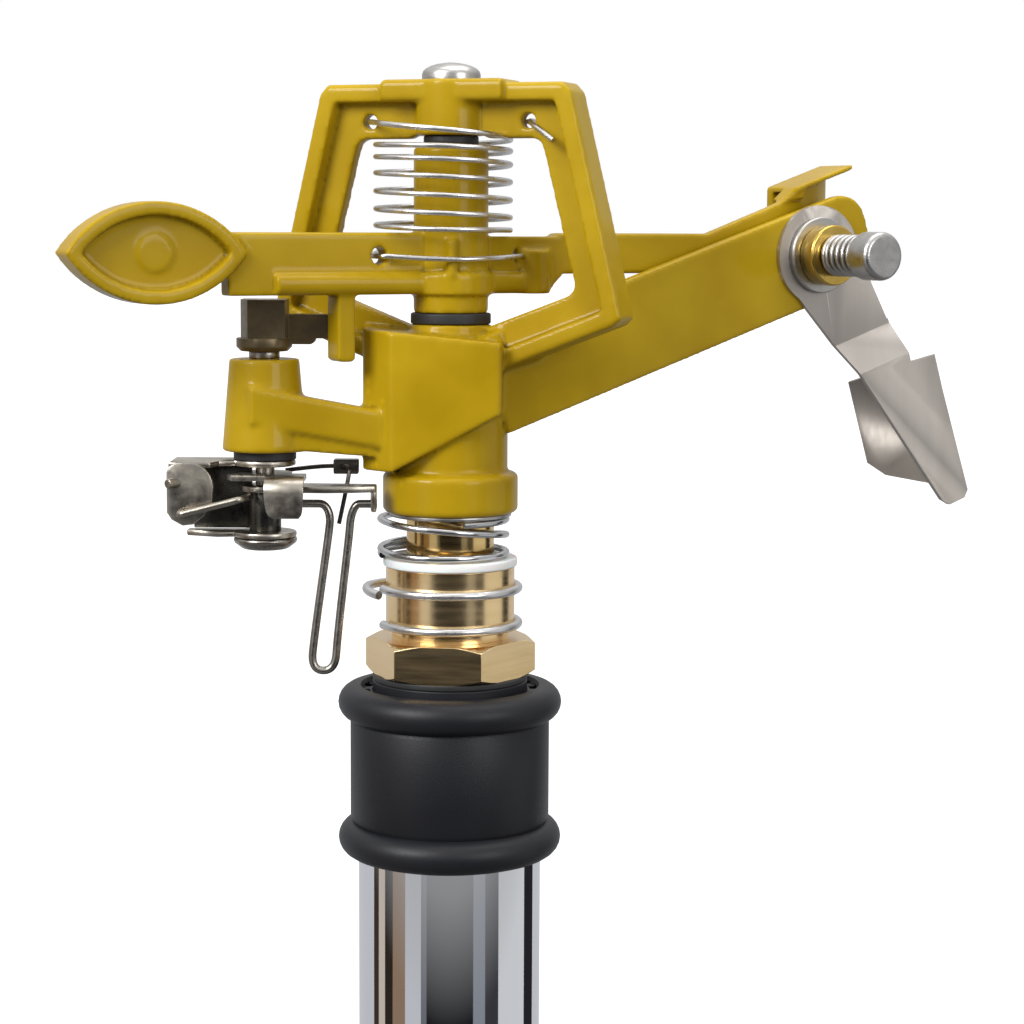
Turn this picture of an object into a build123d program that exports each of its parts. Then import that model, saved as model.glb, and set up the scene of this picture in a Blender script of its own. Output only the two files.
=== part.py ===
# Tripod impact sprinkler: a part-circle impact head on a plated riser, carried by a folding tripod.
# Millimetres. +Z is up. The origin is on the ground, under the riser's axis.
# The head is drawn as it stands in use: the barrel points right and away, the bridge turns its right
# leg forward, and the arm rests in the jet.

import math
import os

from build123d import *

# Clearances and common sheet sizes
RUN = 0.05            # radial running clearance of a shaft in its hole
SEAT = 0.05           # gap between faces that turn on each other
ROUND_SEGMENTS = 6    # sides of a spring wire

# Tripod
HINGE_HEIGHT = 185.0          # hinges above the riser's lower end
HINGE_RADIUS = 34.0
SPLAY = 30.0
LEG_AZIMUTHS = (30.0, 150.0, 270.0)
HUB_RADIUS = 25.0
HUB_ABOVE = 20.0
HUB_BELOW = 22.0
HUB_LIP = 3.0
EAR_RADIUS = 9.5
EAR_THICKNESS = 4.0
EYE_WIDTH = 10.0
EYE_RADIUS = 8.5
EYE_GAP = 0.2
HINGE_PIN_RADIUS = 3.0
HINGE_HEAD_RADIUS = 5.0
HINGE_HEAD_HEIGHT = 3.2
CAP_SHOULDER = 12.0
CAP_LENGTH = 26.0
CAP_WALL = 2.0
CAP_TOP_WALL = 3.0
UPPER_LEG_RADIUS = 9.5
UPPER_LEG_LENGTH = 248.0
LOWER_LEG_SHOWN = 36.2        # bare lower leg between lock and foot, pushed in
LOWER_LEG_RADIUS = 8.0
LOWER_LEG_WALL = 1.2
LOWER_LEG_START = 36.0
FOOT_RADIUS = 12.0
FOOT_SLEEVE = 20.0
FOOT_SOLE = 11.4              # from the leg's end to the ground, along the leg
LOCK_RADIUS = 13.0
LOCK_ON_UPPER = 18.0
LOCK_BELOW = 10.0
LOCK_FLUTES = 6
LOCK_FLUTE_RADIUS = 3.0
SET_SCREW_RADIUS = 2.5
SET_SCREW_PROUD = 1.5

# Riser and inlet
RISER_RADIUS = 16.0
RISER_WALL = 1.2
RISER_ABOVE_HUB = 75.0
ELBOW_RADIUS = 17.5
ELBOW_CENTRE_DROP = 17.0
ELBOW_BELOW_CENTRE = 17.0
ELBOW_SPIGOT = 22.0
BRANCH_RADIUS = 15.0
BRANCH_REACH = 30.0
WATERWAY_RADIUS = 8.0
CONNECTOR_SEAL = 1.5
CONNECTOR_HEX = 30.0
CONNECTOR_HEX_LENGTH = 6.0
CONNECTOR_THREAD_RADIUS = 13.2
CONNECTOR_THREAD_LENGTH = 14.0
CONNECTOR_SPIGOT_RADIUS = 10.4
CONNECTOR_SPIGOT_LENGTH = 12.0

# Collar on the riser's top
COLLAR_RADIUS = 17.4
COLLAR_RIB_RADIUS = 19.5
COLLAR_RIB_HEIGHT = 6.0
COLLAR_LENGTH = 30.0
COLLAR_TOP_WEB = 5.0
COLLAR_STEP_RADIUS = 15.6
COLLAR_STEP_DEPTH = 1.0
INSERT_NECK_RADIUS = 13.5
INSERT_LENGTH = 24.0
INSERT_PROUD = 1.0
GASKET_THICKNESS = 1.0

# Brass swivel
HEX_ACROSS = 26.0
HEX_HEIGHT = 6.5
HEX_TURN = -8.0
THREAD_RADIUS = 10.4
THREAD_LENGTH = 14.0
NECK_RADIUS = 10.15
NECK_HEIGHT = 2.0
SLEEVE_RADIUS = 11.2
SLEEVE_HEIGHT = 10.4
BEARING_RADIUS = 7.6
BEARING_BORE = 5.5
BEARING_FLANGE_RADIUS = 9.6
BEARING_FLANGE = 2.0
BEARING_IN_BODY = 10.0
THRUST_WASHER = 1.8
NYLON_RADIUS = 11.65
NYLON_THICKNESS = 1.6
BEARING_SPRING_HEIGHT = 7.2
BEARING_SPRING_WIRE = 0.6
BEARING_SPRING_RADIUS = 11.0
BEARING_SPRING_TURNS = 2.0
BEARING_SPRING_SHIFT = -1.2
TOP_WASHER_RADIUS = 10.6
TOP_WASHER_THICKNESS = 0.6

# Stop rings
RING_WIRE = 0.75
RING_UPPER_ABOVE_SLEEVE_FOOT = 6.6
RING_LOWER_ABOVE_SLEEVE_FOOT = 0.4
RING_START = 197.0
RING_UPPER_SWEEP = 313.0
RING_LOWER_SWEEP = 240.0
RING_TAIL_REACH = 2.6         # how far the tail's end stands out of the ring
RING_TAIL_SWEEP = 34.0

# Body casting
FLANGE_RADIUS = 11.7
FLANGE_HEIGHT = 7.0
BODY_NECK_RADIUS = 9.9
BODY_HEIGHT = 32.5
BODY_BOSS_RADIUS = 6.9
BLOCK_FRONT = 11.0
BLOCK_BACK = 9.0
BLOCK_RIGHT = 8.9
BLOCK_LEFT = 9.8
BLOCK_BEVEL = 5.0
BLOCK_TOP_LEFT_DROP = 0.5
BLOCK_TOP_RIGHT_DROP = 2.8
BLOCK_HEIGHT_LEFT = 24.3
BLOCK_HEIGHT_RIGHT = 12.0
BLOCK_EDGE = 0.8
SPINDLE_SEAT = 5.0

# Barrel
BARREL_AZIMUTH = 31.0
BARREL_RISE = 18.0
BARREL_AXIS_HEIGHT = 20.9     # above the body's flange face, on the riser's axis
BARREL_RADIUS = 7.4
BARREL_BORE = 4.5
BARREL_LENGTH = 36.0
NOZZLE_THREAD_RADIUS = 5.6
NOZZLE_THREAD_LENGTH = 9.0
NOZZLE_HEAD_RADIUS = 6.1
NOZZLE_HEAD_LENGTH = 5.0
NOZZLE_MOUTH = 2.2
PLATE_OFFSET = 9.0            # near face of the barrel's side plate, from the barrel's axis
PLATE_THICKNESS = 2.4
PLATE_HALF_HEIGHT = 8.7
PLATE_START = 4.0
PLATE_LENGTH = 88.5
PLATE_END_ROUND = 5.5

# Bridge over the arm
BRIDGE_AZIMUTH = -20.0
BRIDGE_TOP_HALF = 21.3
BRIDGE_SHOULDER = 1.5         # shoulder cut at the outer ends of the top bar
BRIDGE_FOOT_HALF = 31.9
BRIDGE_FOOT_CUT = 1.3
BRIDGE_LEG_HEIGHT = 39.2
BRIDGE_PAD_HALF = 11.0        # raised pad on the middle of the top bar
BRIDGE_PAD_RISE = 0.7
BRIDGE_PAD_PROUD = 1.2
BRIDGE_LINK_FALL = 9.3
BRIDGE_LINK_END = 6.5
BRIDGE_RIM = 3.1
BRIDGE_DEPTH = 8.5
BRIDGE_WEB_THICKNESS = 3.0
WINDOW_ROUND = 2.2
WINDOW_HEAD_DROP = 9.9        # window's heights, down from the bridge's top
WINDOW_FOOT_DROP = 35.7
WINDOW_SILL_DROP = 42.0
WINDOW_HEAD_HALF = 16.7       # window's half widths
WINDOW_FOOT_HALF = 23.2
WINDOW_SILL_HALF = 6.5
BRIDGE_EDGE = 0.6
BRIDGE_BOSS_LENGTH = 9.4
BRIDGE_BOSS_RADIUS = 6.0
SPRING_HOLE_RADIUS = 1.3
SPRING_HOLE_OFFSET = 14.4
SPRING_HOLE_DROP = 7.0

# Spindle and arm
SPINDLE_RADIUS = 3.0
CAP_RADIUS = 5.0
CAP_RIM = 1.2
CAP_DOME = 1.7
ARM_WASHER_RADIUS = 6.9
ARM_WASHER_THICKNESS = 1.9
ARM_AZIMUTH = 28.0
ARM_HUB_RADIUS = 6.4
ARM_HUB_HEIGHT = 28.0
BUSH_RADIUS = 4.4
BUSH_LENGTH = 7.0
BEAM_LOW = 3.2                # beam underside above the hub's lower face
BEAM_HEIGHT = 10.4
BEAM_THICKNESS = 4.0
BEAM_RIB_HEIGHT = 3.6
BEAM_RIB_PROUD = 1.4
BEAM_RIB_END = 13.0
BEAM_DIP = 0.6                # low stretch of the beam's top beside the hub
BEAM_DIP_END = 20.0
BEAM_STEP = 18.0
BEAM_OVER_NOZZLE = 1.6        # beam's stepped underside above the nozzle's head
KNEE = 50.8
RISE_END = 68.5
RISE_HEIGHT = 6.4
PADDLE_TIP = 69.2
PADDLE_ROOT = 38.4
PADDLE_HALF_HEIGHT = 8.3
PADDLE_DROP = 1.3             # paddle centre below the beam's upper edge
PADDLE_THICKNESS = 6.0
PADDLE_RIM = 2.2
PADDLE_RECESS = 1.8
PADDLE_MARK_RADIUS = 3.0
PADDLE_MARK_HEIGHT = 0.3
LUG_NEAR = 18.9
LUG_FAR = 22.1
LUG_DROP = 11.2
LUG_THICKNESS = 4.7
LUG_ROUND = 0.8
ARM_HOLE_RADIUS = 1.5
ARM_HOLE_LEFT = 14.3
ARM_HOLE_RIGHT = 12.6
ARM_HOLE_DROP = 3.9
SPOON_FROM_NOZZLE = 2.1       # spoon's wall in front of the nozzle's mouth
SPOON_END = 82.0
SPOON_WALL = 2.0
SPOON_TURN = 62.0
SPOON_SWEEP = 8.0
SPOON_DEPTH_START = 17.0
SPOON_DEPTH_END = 17.0
LIP_START = 69.8
LIP_THICKNESS = 1.0
LIP_ABOVE = 1.7
LIP_FRONT = 2.4

# Arm return spring
ARM_SPRING_WIRE = 0.41
ARM_SPRING_RADIUS = 11.6
ARM_SPRING_TURNS = 5.4
ARM_SPRING_PITCH = 2.8
ARM_SPRING_ABOVE_BEAM = 0.55
ARM_SPRING_START = 200.0
ARM_SPRING_SHIFT = -1.3

# Deflector
PIVOT_ALONG = 75.5
DEFLECTOR_SHEET = 0.9
DEFLECTOR_HEAD_RADIUS = 9.0
DEFLECTOR_WASHER_RADIUS = 6.9
DEFLECTOR_WASHER_THICKNESS = 1.2
DEFLECTOR_BUSH_RADIUS = 5.5
DEFLECTOR_BUSH_LENGTH = 3.6
RIVET_RADIUS = 2.2
RIVET_HEAD_RADIUS = 4.3
RIVET_HEAD_LENGTH = 5.2
DEFLECTOR_SPRING_LENGTH = 8.6
DEFLECTOR_SPRING_WIRE = 0.5
DEFLECTOR_SPRING_RADIUS = 3.35
DEFLECTOR_SPRING_TURNS = 5.0
JOGGLE_START = 17.2
JOGGLE_DROP = 6.2
JOGGLE_OUT = 2.4
NECK_LEFT = 1.2               # left edge of the neck at the joggle, left of the pivot
NECK_RIGHT = 12.0
FLAP_FOLD = 19.6              # fold edge at the flap's right, right of the pivot
FLAP_LENGTH = 54.6
FLAP_TIP_LEFT = 13.0
FLAP_NOTCH = 13.2
FLAP_RETURN = 17.5
FLAP_RETURN_ANGLE = 54.0
FLAP_RETURN_TOP = 27.5
FLAP_RETURN_LOW = 45.0

# Trip mechanism
TRIP_X = -31.3
TRIP_Y = -8.0
TRIP_BOSS_RADIUS = 5.9
TRIP_BOSS_FOOT_RADIUS = 7.2
TRIP_BOSS_TOP_DROP = 5.7      # below the body's top
TRIP_BOSS_HEIGHT = 15.6
LINK_THICKNESS = 4.6
LINK_HEIGHT = 10.2
LINK_LENGTH = 20.0
LINK_START = -3.6
LINK_AZIMUTH = 15.0
LINK_TOP_DROP = 10.0
LINK_TOP_FALL = 4.6
LINK_BAND_HEIGHT = 6.4
LINK_BAND_PROUD = 0.8
TRIP_SHAFT_RADIUS = 1.6
HAMMER_SHAFT_RADIUS = 2.6
HAMMER_LIFT = 1.3
HAMMER_HEIGHT = 8.7
HAMMER_HALF_WIDTH = 3.9
HAMMER_DEPTH = 8.0
HAMMER_FACET = 1.5
HAMMER_FACET_DEPTH = 3.4
HAMMER_FOOT_RADIUS = 4.7
HAMMER_FOOT = 2.2
SHOULDER_REACH = 8.4          # mass at the root of the finger
SHOULDER_LIFT = 1.0
FINGER_REACH = 10.6
FINGER_WIDTH = 3.2
FINGER_HEIGHT = 4.1
FINGER_DROP = 2.6             # finger's top below the hammer's top
FINGER_OFFSET = 3.9
TRIP_WASHER_RADIUS = 5.3
TRIP_WASHER_THICKNESS = 1.5
BRACKET_SHEET = 1.0
BRACKET_LEFT = 16.0
BRACKET_RADIUS = 5.2
CHEEK_WIDTH = 7.4
CHEEK_HEIGHT = 9.6
CHEEK_FORWARD = 6.2
CHEEK_CORNER = 1.2
CHEEK_LOBE = 2.4
TOGGLE_LEFT = 13.6
TOGGLE_PIN_DROP = 3.4
TOGGLE_HOLE_DROP = 8.6
BRACKET_NOTCH = 6.2           # cut-back of the leaves between cheek and boss
BRACKET_NOTCH_DEPTH = 4.6
TONGUE_LEFT = 0.6
TONGUE_WIDTH = 6.2
TONGUE_DROP = 7.4
TONGUE_BEND = 2.6
TONGUE_CORNER = 1.2
LEVER_SHEET = 1.1
LEVER_DROP = 3.3              # lever plate below the bracket's upper leaf
LEVER_HUB_RADIUS = 3.1
TRIP_TUBE_RADIUS = 2.35
TRIP_TUBE_LENGTH = 11.2
TRIP_RIVET_RADIUS = 5.4
TRIP_RIVET_HEIGHT = 2.0
TOGGLE_PIN_RADIUS = 0.8
TOGGLE_WIRE = 0.6
EAR_LEFT = -25.6
EAR_RIGHT = -12.4
EAR_SHEET = 0.9
EAR_DROP = 3.6
EAR_WIDTH = 3.6
LEVER_WIDTH = 5.0
WIRE_RADIUS = 0.7
WIRE_LENGTH = 28.8
WIRE_TOP_HALF = 1.9
WIRE_KNEE = 4.5
WIRE_LEAN = 2.8
WIRE_BEND = 1.6
WIRE_END = 0.2                # wire's ends beyond the ears
WIRE_SHANK = 2.4              # straight run inside each ear

# Heights, stacked from the ground: the legs carry the hub, and the hub holds the riser
leg_run = (CAP_SHOULDER + CAP_TOP_WALL + UPPER_LEG_LENGTH + LOCK_BELOW + LOWER_LEG_SHOWN
           + FOOT_SLEEVE + FOOT_SOLE)
hinge_high = leg_run * math.cos(math.radians(SPLAY))
riser_low = hinge_high - HINGE_HEIGHT
riser_top = hinge_high + HUB_ABOVE + RISER_ABOVE_HUB
collar_top = riser_top + COLLAR_TOP_WEB
hex_low = collar_top + INSERT_PROUD + GASKET_THICKNESS
hex_high = hex_low + HEX_HEIGHT
sleeve_low = hex_high + NECK_HEIGHT
sleeve_high = sleeve_low + SLEEVE_HEIGHT
nylon_high = sleeve_high + NYLON_THICKNESS
flange_low = nylon_high + BEARING_SPRING_HEIGHT + TOP_WASHER_THICKNESS
body_top = flange_low + BODY_HEIGHT
thread_low = hex_low - THREAD_LENGTH
hub_low = body_top + ARM_WASHER_THICKNESS + SEAT
hub_high = hub_low + ARM_HUB_HEIGHT
bridge_boss_low = hub_high + ARM_WASHER_THICKNESS + 2 * SEAT
bridge_top = bridge_boss_low + BRIDGE_BOSS_LENGTH
beam_low = hub_low + BEAM_LOW
beam_high = beam_low + BEAM_HEIGHT
nozzle_mouth = BARREL_LENGTH + NOZZLE_HEAD_LENGTH
rise_sine = math.sin(math.radians(BARREL_RISE))
rise_cosine = math.cos(math.radians(BARREL_RISE))
nozzle_top = flange_low + BARREL_AXIS_HEIGHT + nozzle_mouth * rise_sine + NOZZLE_HEAD_RADIUS * rise_cosine
beam_step_low = nozzle_top + BEAM_OVER_NOZZLE
spoon_start = nozzle_mouth * rise_cosine + NOZZLE_HEAD_RADIUS * rise_sine + SPOON_FROM_NOZZLE
trip_boss_high = body_top - TRIP_BOSS_TOP_DROP
trip_boss_low = trip_boss_high - TRIP_BOSS_HEIGHT
bracket_high = trip_boss_low - TRIP_WASHER_THICKNESS
tube_high = bracket_high - BRACKET_SHEET
tube_low = tube_high - TRIP_TUBE_LENGTH
bracket_low = tube_low - BRACKET_SHEET
lever_high = tube_high - LEVER_DROP
lever_low = lever_high - LEVER_SHEET
wire_axis = lever_low - EAR_DROP / 2 - WIRE_RADIUS / 2

# Frames of the turned groups
barrel_frame = Pos(0, 0, flange_low + BARREL_AXIS_HEIGHT) * Rot(0, 0, BARREL_AZIMUTH) * Rot(0, -BARREL_RISE, 0)
bridge_frame = Rot(0, 0, BRIDGE_AZIMUTH)
arm_frame = Rot(0, 0, ARM_AZIMUTH)


# Small makers
def rod(radius, low, high, x=0.0, y=0.0):
    """Upright cylinder between two heights."""
    return Pos(x, y, (low + high) / 2) * Cylinder(radius, high - low)


def tube(outer, inner, low, high, x=0.0, y=0.0):
    """Upright tube between two heights."""
    return rod(outer, low, high, x, y) - rod(inner, low, high, x, y)


def slab(x_low, x_high, y_low, y_high, z_low, z_high):
    """Block between two corners."""
    centre = Pos((x_low + x_high) / 2, (y_low + y_high) / 2, (z_low + z_high) / 2)
    return centre * Box(x_high - x_low, y_high - y_low, z_high - z_low)


def face_xy(points):
    return make_face(Polyline(*points, close=True))


def prism_y(points, y_low, y_high, rounding=0.0):
    """Outline in X and Z, as thick as the two values of Y give."""
    outline = make_face(Polyline(*points, close=True))
    if rounding:
        outline = fillet(outline.vertices(), rounding)
    solid = extrude(outline, y_high - y_low)
    return Pos(0, y_high, 0) * Rot(90, 0, 0) * solid


def lie_along_y(solid):
    """Turns an upright shape to lie along Y, its top towards the viewer."""
    return Rot(90, 0, 0) * solid


def coil(radius, wire, height, turns, lefthand=False):
    """Helical spring wire of few sides, standing on Z = 0."""
    path = Helix(pitch=height / turns, height=height, radius=radius, lefthand=lefthand)
    section = Plane(origin=path @ 0, z_dir=path % 0) * RegularPolygon(wire, ROUND_SEGMENTS)
    return sweep(section, path=path, is_frenet=True)


def sweep_along(path, section):
    """Section carried along a path, square to its start."""
    return sweep(Plane(origin=path @ 0, z_dir=path % 0) * section, path=path)


def wire(points, radii, radius):
    """Round wire bent along straight runs joined by arcs."""
    return sweep_along(FilletPolyline(*points, radius=radii), Circle(radius))


def single(shape):
    """The one solid of a fused shape."""
    return shape.solids().sort_by(SortBy.VOLUME)[-1]


def leg_frame(azimuth):
    """Leg axes: the hinge at the origin, the leg along -Z, outwards along +X."""
    return Rot(0, 0, azimuth) * Pos(HINGE_RADIUS, 0, hinge_high) * Rot(0, -SPLAY, 0)


nodes = {}

# Riser tube, chrome-plated steel
nodes["riser_tube"] = tube(RISER_RADIUS, RISER_RADIUS - RISER_WALL, riser_low, riser_top)


# Collar, a black moulding over the riser's end with a rib at each end
def make_riser_collar():
    low = collar_top - COLLAR_LENGTH
    body = rod(COLLAR_RADIUS, low, collar_top)
    for centre in (low + COLLAR_RIB_HEIGHT / 2, collar_top - COLLAR_RIB_HEIGHT / 2):
        rib = rod(COLLAR_RIB_RADIUS, centre - COLLAR_RIB_HEIGHT / 2, centre + COLLAR_RIB_HEIGHT / 2)
        body += fillet(rib.edges(), COLLAR_RIB_HEIGHT / 2 - 0.1)
    body -= rod(RISER_RADIUS + RUN, low, riser_top)
    body -= rod(INSERT_NECK_RADIUS + RUN, riser_top, collar_top)
    body -= rod(COLLAR_STEP_RADIUS, collar_top - COLLAR_STEP_DEPTH, collar_top)
    return body


nodes["riser_collar"] = make_riser_collar()


# Threaded insert in the riser's mouth, and the gasket under the hexagon
def make_collar_insert():
    low = riser_top - INSERT_LENGTH
    body = rod(RISER_RADIUS - RISER_WALL - RUN, low, riser_top)
    body += rod(INSERT_NECK_RADIUS, riser_top, collar_top + INSERT_PROUD)
    return body - rod(THREAD_RADIUS + RUN, low, collar_top + INSERT_PROUD)


nodes["collar_insert"] = make_collar_insert()
nodes["swivel_gasket"] = tube(INSERT_NECK_RADIUS, THREAD_RADIUS + RUN, collar_top + INSERT_PROUD, hex_low)


# Swivel nipple, turned brass: thread, hexagon, neck and sleeve in one piece
def make_swivel_nipple():
    hexagon = extrude(RegularPolygon(HEX_ACROSS / 2, 6, major_radius=False), HEX_HEIGHT)
    hexagon = Pos(0, 0, hex_low) * Rot(0, 0, HEX_TURN) * hexagon
    corner = HEX_ACROSS / math.sqrt(3)
    turned = rod(corner, hex_low, hex_high)
    hexagon &= chamfer(turned.edges(), 0.9, 1.7)
    body = hexagon + rod(THREAD_RADIUS, thread_low, hex_low)
    body += rod(NECK_RADIUS, hex_high, sleeve_low) + rod(SLEEVE_RADIUS, sleeve_low, sleeve_high)
    return single(body - rod(BEARING_RADIUS + RUN, thread_low, sleeve_high))


nodes["swivel_nipple"] = make_swivel_nipple()

# Bearing tube, brass, turning in the nipple and screwed into the body
flange_face = thread_low - SEAT - THRUST_WASHER
bearing_tube = rod(BEARING_RADIUS, flange_face, flange_low + BEARING_IN_BODY)
bearing_tube += rod(BEARING_FLANGE_RADIUS, flange_face - BEARING_FLANGE, flange_face)
bearing_tube -= rod(BEARING_BORE, flange_face - BEARING_FLANGE, flange_low + BEARING_IN_BODY)
nodes["bearing_tube"] = bearing_tube
nodes["thrust_washer"] = tube(BEARING_FLANGE_RADIUS, BEARING_RADIUS + RUN, flange_face, thread_low - SEAT)
nodes["nylon_washer"] = tube(NYLON_RADIUS, BEARING_RADIUS + RUN, sleeve_high + SEAT, nylon_high)
nodes["spring_washer"] = tube(TOP_WASHER_RADIUS, BEARING_RADIUS + RUN,
                              flange_low - TOP_WASHER_THICKNESS, flange_low)
bearing_coil = coil(BEARING_SPRING_RADIUS, BEARING_SPRING_WIRE, BEARING_SPRING_HEIGHT - 2 * BEARING_SPRING_WIRE,
                    BEARING_SPRING_TURNS, lefthand=True)
bearing_coil = Pos(BEARING_SPRING_SHIFT, 0, nylon_high + BEARING_SPRING_WIRE) * Rot(0, 0, 180) * bearing_coil
nodes["bearing_spring"] = bearing_coil


# Stop rings, wire that grips the sleeve, with a tail that bows out to meet the trip wire
def make_stop_ring(height, sweep):
    centre = SLEEVE_RADIUS + RUN + RING_WIRE
    grip = CenterArc((0, 0), centre, RING_START, sweep)
    end = math.radians(RING_START + sweep + RING_TAIL_SWEEP)
    reach = centre + RING_TAIL_REACH
    tail = TangentArc(grip @ 1, (reach * math.cos(end), reach * math.sin(end)), tangent=grip % 1)
    path = Wire([grip, tail])
    ring = sweep_along(path, Circle(RING_WIRE))
    return Pos(0, 0, height) * ring


nodes["stop_ring_upper"] = make_stop_ring(sleeve_low + RING_UPPER_ABOVE_SLEEVE_FOOT, RING_UPPER_SWEEP)
nodes["stop_ring_lower"] = make_stop_ring(sleeve_low + RING_LOWER_ABOVE_SLEEVE_FOOT, RING_LOWER_SWEEP)


# Bridge: a rim with a thinner web inside it, a raised pad on its top bar and a boss for the spindle
def both_sides(half):
    """Outline from its right half, listed from the top down."""
    return half + [(-x, z) for x, z in half[::-1]]


def bridge_outline():
    """Outer contour in the bridge's own plane."""
    top = bridge_top - BRIDGE_PAD_RISE
    foot = top - BRIDGE_LEG_HEIGHT
    return both_sides([(BRIDGE_TOP_HALF, top), (BRIDGE_TOP_HALF + BRIDGE_SHOULDER, top - BRIDGE_SHOULDER),
                       (BRIDGE_FOOT_HALF, foot), (BRIDGE_FOOT_HALF - BRIDGE_FOOT_CUT, foot - BRIDGE_FOOT_CUT),
                       (BRIDGE_LINK_END, foot - BRIDGE_FOOT_CUT - BRIDGE_LINK_FALL)])


def window_outline():
    """Opening in the bridge's web."""
    return both_sides([(WINDOW_HEAD_HALF, bridge_top - WINDOW_HEAD_DROP),
                       (WINDOW_FOOT_HALF, bridge_top - WINDOW_FOOT_DROP),
                       (WINDOW_SILL_HALF, bridge_top - WINDOW_SILL_DROP)])


def make_bridge():
    outline = make_face(Polyline(*bridge_outline(), close=True))
    inside_rim = offset(outline, -BRIDGE_RIM, kind=Kind.INTERSECTION)
    window = make_face(Polyline(*window_outline(), close=True))
    window = fillet(window.vertices(), WINDOW_ROUND)
    solid = extrude(outline, BRIDGE_DEPTH / 2, both=True)
    solid = chamfer(solid.edges().filter_by(Axis.Z, reverse=True), BRIDGE_EDGE)
    recess_depth = (BRIDGE_DEPTH - BRIDGE_WEB_THICKNESS) / 2
    for side in (-1, 1):
        face_height = side * (BRIDGE_WEB_THICKNESS / 2 + recess_depth / 2)
        solid -= Pos(0, 0, face_height) * extrude(inside_rim, recess_depth / 2, both=True)
    frame = Rot(90, 0, 0) * (solid - extrude(window, BRIDGE_DEPTH, both=True))
    pad_front = BRIDGE_DEPTH / 2 + BRIDGE_PAD_PROUD
    pad = slab(-BRIDGE_PAD_HALF, BRIDGE_PAD_HALF, -pad_front, pad_front,
               bridge_top - BRIDGE_PAD_RISE - BRIDGE_RIM, bridge_top)
    frame += chamfer(pad.edges().filter_by(Axis.X), BRIDGE_EDGE)
    frame += rod(BRIDGE_BOSS_RADIUS, bridge_boss_low, bridge_top)
    frame -= rod(ARM_WASHER_RADIUS + RUN, body_top, bridge_boss_low)
    for side in (-1, 1):
        hole = lie_along_y(Cylinder(SPRING_HOLE_RADIUS, BRIDGE_DEPTH))
        frame -= Pos(side * SPRING_HOLE_OFFSET, 0, bridge_top - SPRING_HOLE_DROP) * hole
    return bridge_frame * frame


# Block over the neck, with a bevelled left corner and a sloping top and underside
def make_block():
    bevel = BLOCK_LEFT + BLOCK_BEVEL
    plan = face_xy([(BLOCK_RIGHT, -BLOCK_FRONT), (-BLOCK_LEFT, -BLOCK_FRONT), (-bevel, BLOCK_BEVEL - BLOCK_FRONT),
                    (-bevel, BLOCK_BACK - BLOCK_BEVEL), (-BLOCK_LEFT, BLOCK_BACK), (BLOCK_RIGHT, BLOCK_BACK)])
    top_left = body_top - BLOCK_TOP_LEFT_DROP
    top_right = body_top - BLOCK_TOP_RIGHT_DROP
    side = [(-bevel, top_left), (BLOCK_RIGHT, top_right), (BLOCK_RIGHT, top_right - BLOCK_HEIGHT_RIGHT),
            (-BLOCK_LEFT, top_left - BLOCK_HEIGHT_LEFT), (-bevel, top_left - BLOCK_HEIGHT_LEFT)]
    block = Pos(0, 0, flange_low) * extrude(plan, BODY_HEIGHT)
    block &= prism_y(side, -BLOCK_FRONT, BLOCK_BACK)
    upright = block.edges().filter_by(Axis.Z)
    return fillet(upright, BLOCK_EDGE)


# Barrel: a round waterway with a tall flat plate on its near side
def make_barrel():
    barrel = Rot(0, 90, 0) * rod(BARREL_RADIUS, 0, BARREL_LENGTH)
    end = PLATE_LENGTH
    half = PLATE_HALF_HEIGHT
    plate = prism_y([(PLATE_START, -half), (end, -half), (end, half), (PLATE_START, half)],
                    -PLATE_OFFSET, -PLATE_OFFSET + PLATE_THICKNESS)
    corners = plate.edges().filter_by(Axis.Y).group_by(Axis.X)[-1]
    plate = fillet(corners, PLATE_END_ROUND)
    bracket = slab(PLATE_START, BARREL_LENGTH, -PLATE_OFFSET + PLATE_THICKNESS / 2, 0,
                   -BARREL_RADIUS * 0.7, BARREL_RADIUS * 0.7)
    return barrel_frame * (barrel + plate + bracket)


def barrel_cuts():
    bore = Rot(0, 90, 0) * rod(BARREL_BORE, 0, BARREL_LENGTH)
    seat = Rot(0, 90, 0) * rod(NOZZLE_THREAD_RADIUS + RUN, BARREL_LENGTH - NOZZLE_THREAD_LENGTH, BARREL_LENGTH)
    pivot = Pos(PIVOT_ALONG, -PLATE_OFFSET, 0) * lie_along_y(Cylinder(RIVET_RADIUS + RUN, 3 * PLATE_THICKNESS))
    return barrel_frame * (bore + seat + pivot)


# Trip boss at the left, on its link
def make_trip_boss():
    boss = Pos(TRIP_X, TRIP_Y, trip_boss_low) * extrude(Circle(TRIP_BOSS_FOOT_RADIUS), TRIP_BOSS_HEIGHT,
                                                        taper=math.degrees(math.atan2(
                                                            TRIP_BOSS_FOOT_RADIUS - TRIP_BOSS_RADIUS,
                                                            TRIP_BOSS_HEIGHT)))
    top = body_top - LINK_TOP_DROP
    low = top - LINK_HEIGHT
    front = -TRIP_BOSS_RADIUS
    end_top = top - LINK_TOP_FALL
    side = [(LINK_START, top), (LINK_LENGTH, end_top), (LINK_LENGTH, low - LINK_TOP_FALL / 2), (LINK_START, low)]
    link = prism_y(side, front, front + LINK_THICKNESS)
    band = [(LINK_START, top), (LINK_LENGTH, end_top), (LINK_LENGTH, end_top - LINK_BAND_HEIGHT),
            (LINK_START, top - LINK_BAND_HEIGHT)]
    band = prism_y(band, front - LINK_BAND_PROUD, front)
    band = chamfer(band.faces().sort_by(Axis.Y)[0].edges(), LINK_BAND_PROUD / 2)
    return boss + Pos(TRIP_X, TRIP_Y, 0) * Rot(0, 0, LINK_AZIMUTH) * (link + band)


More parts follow.
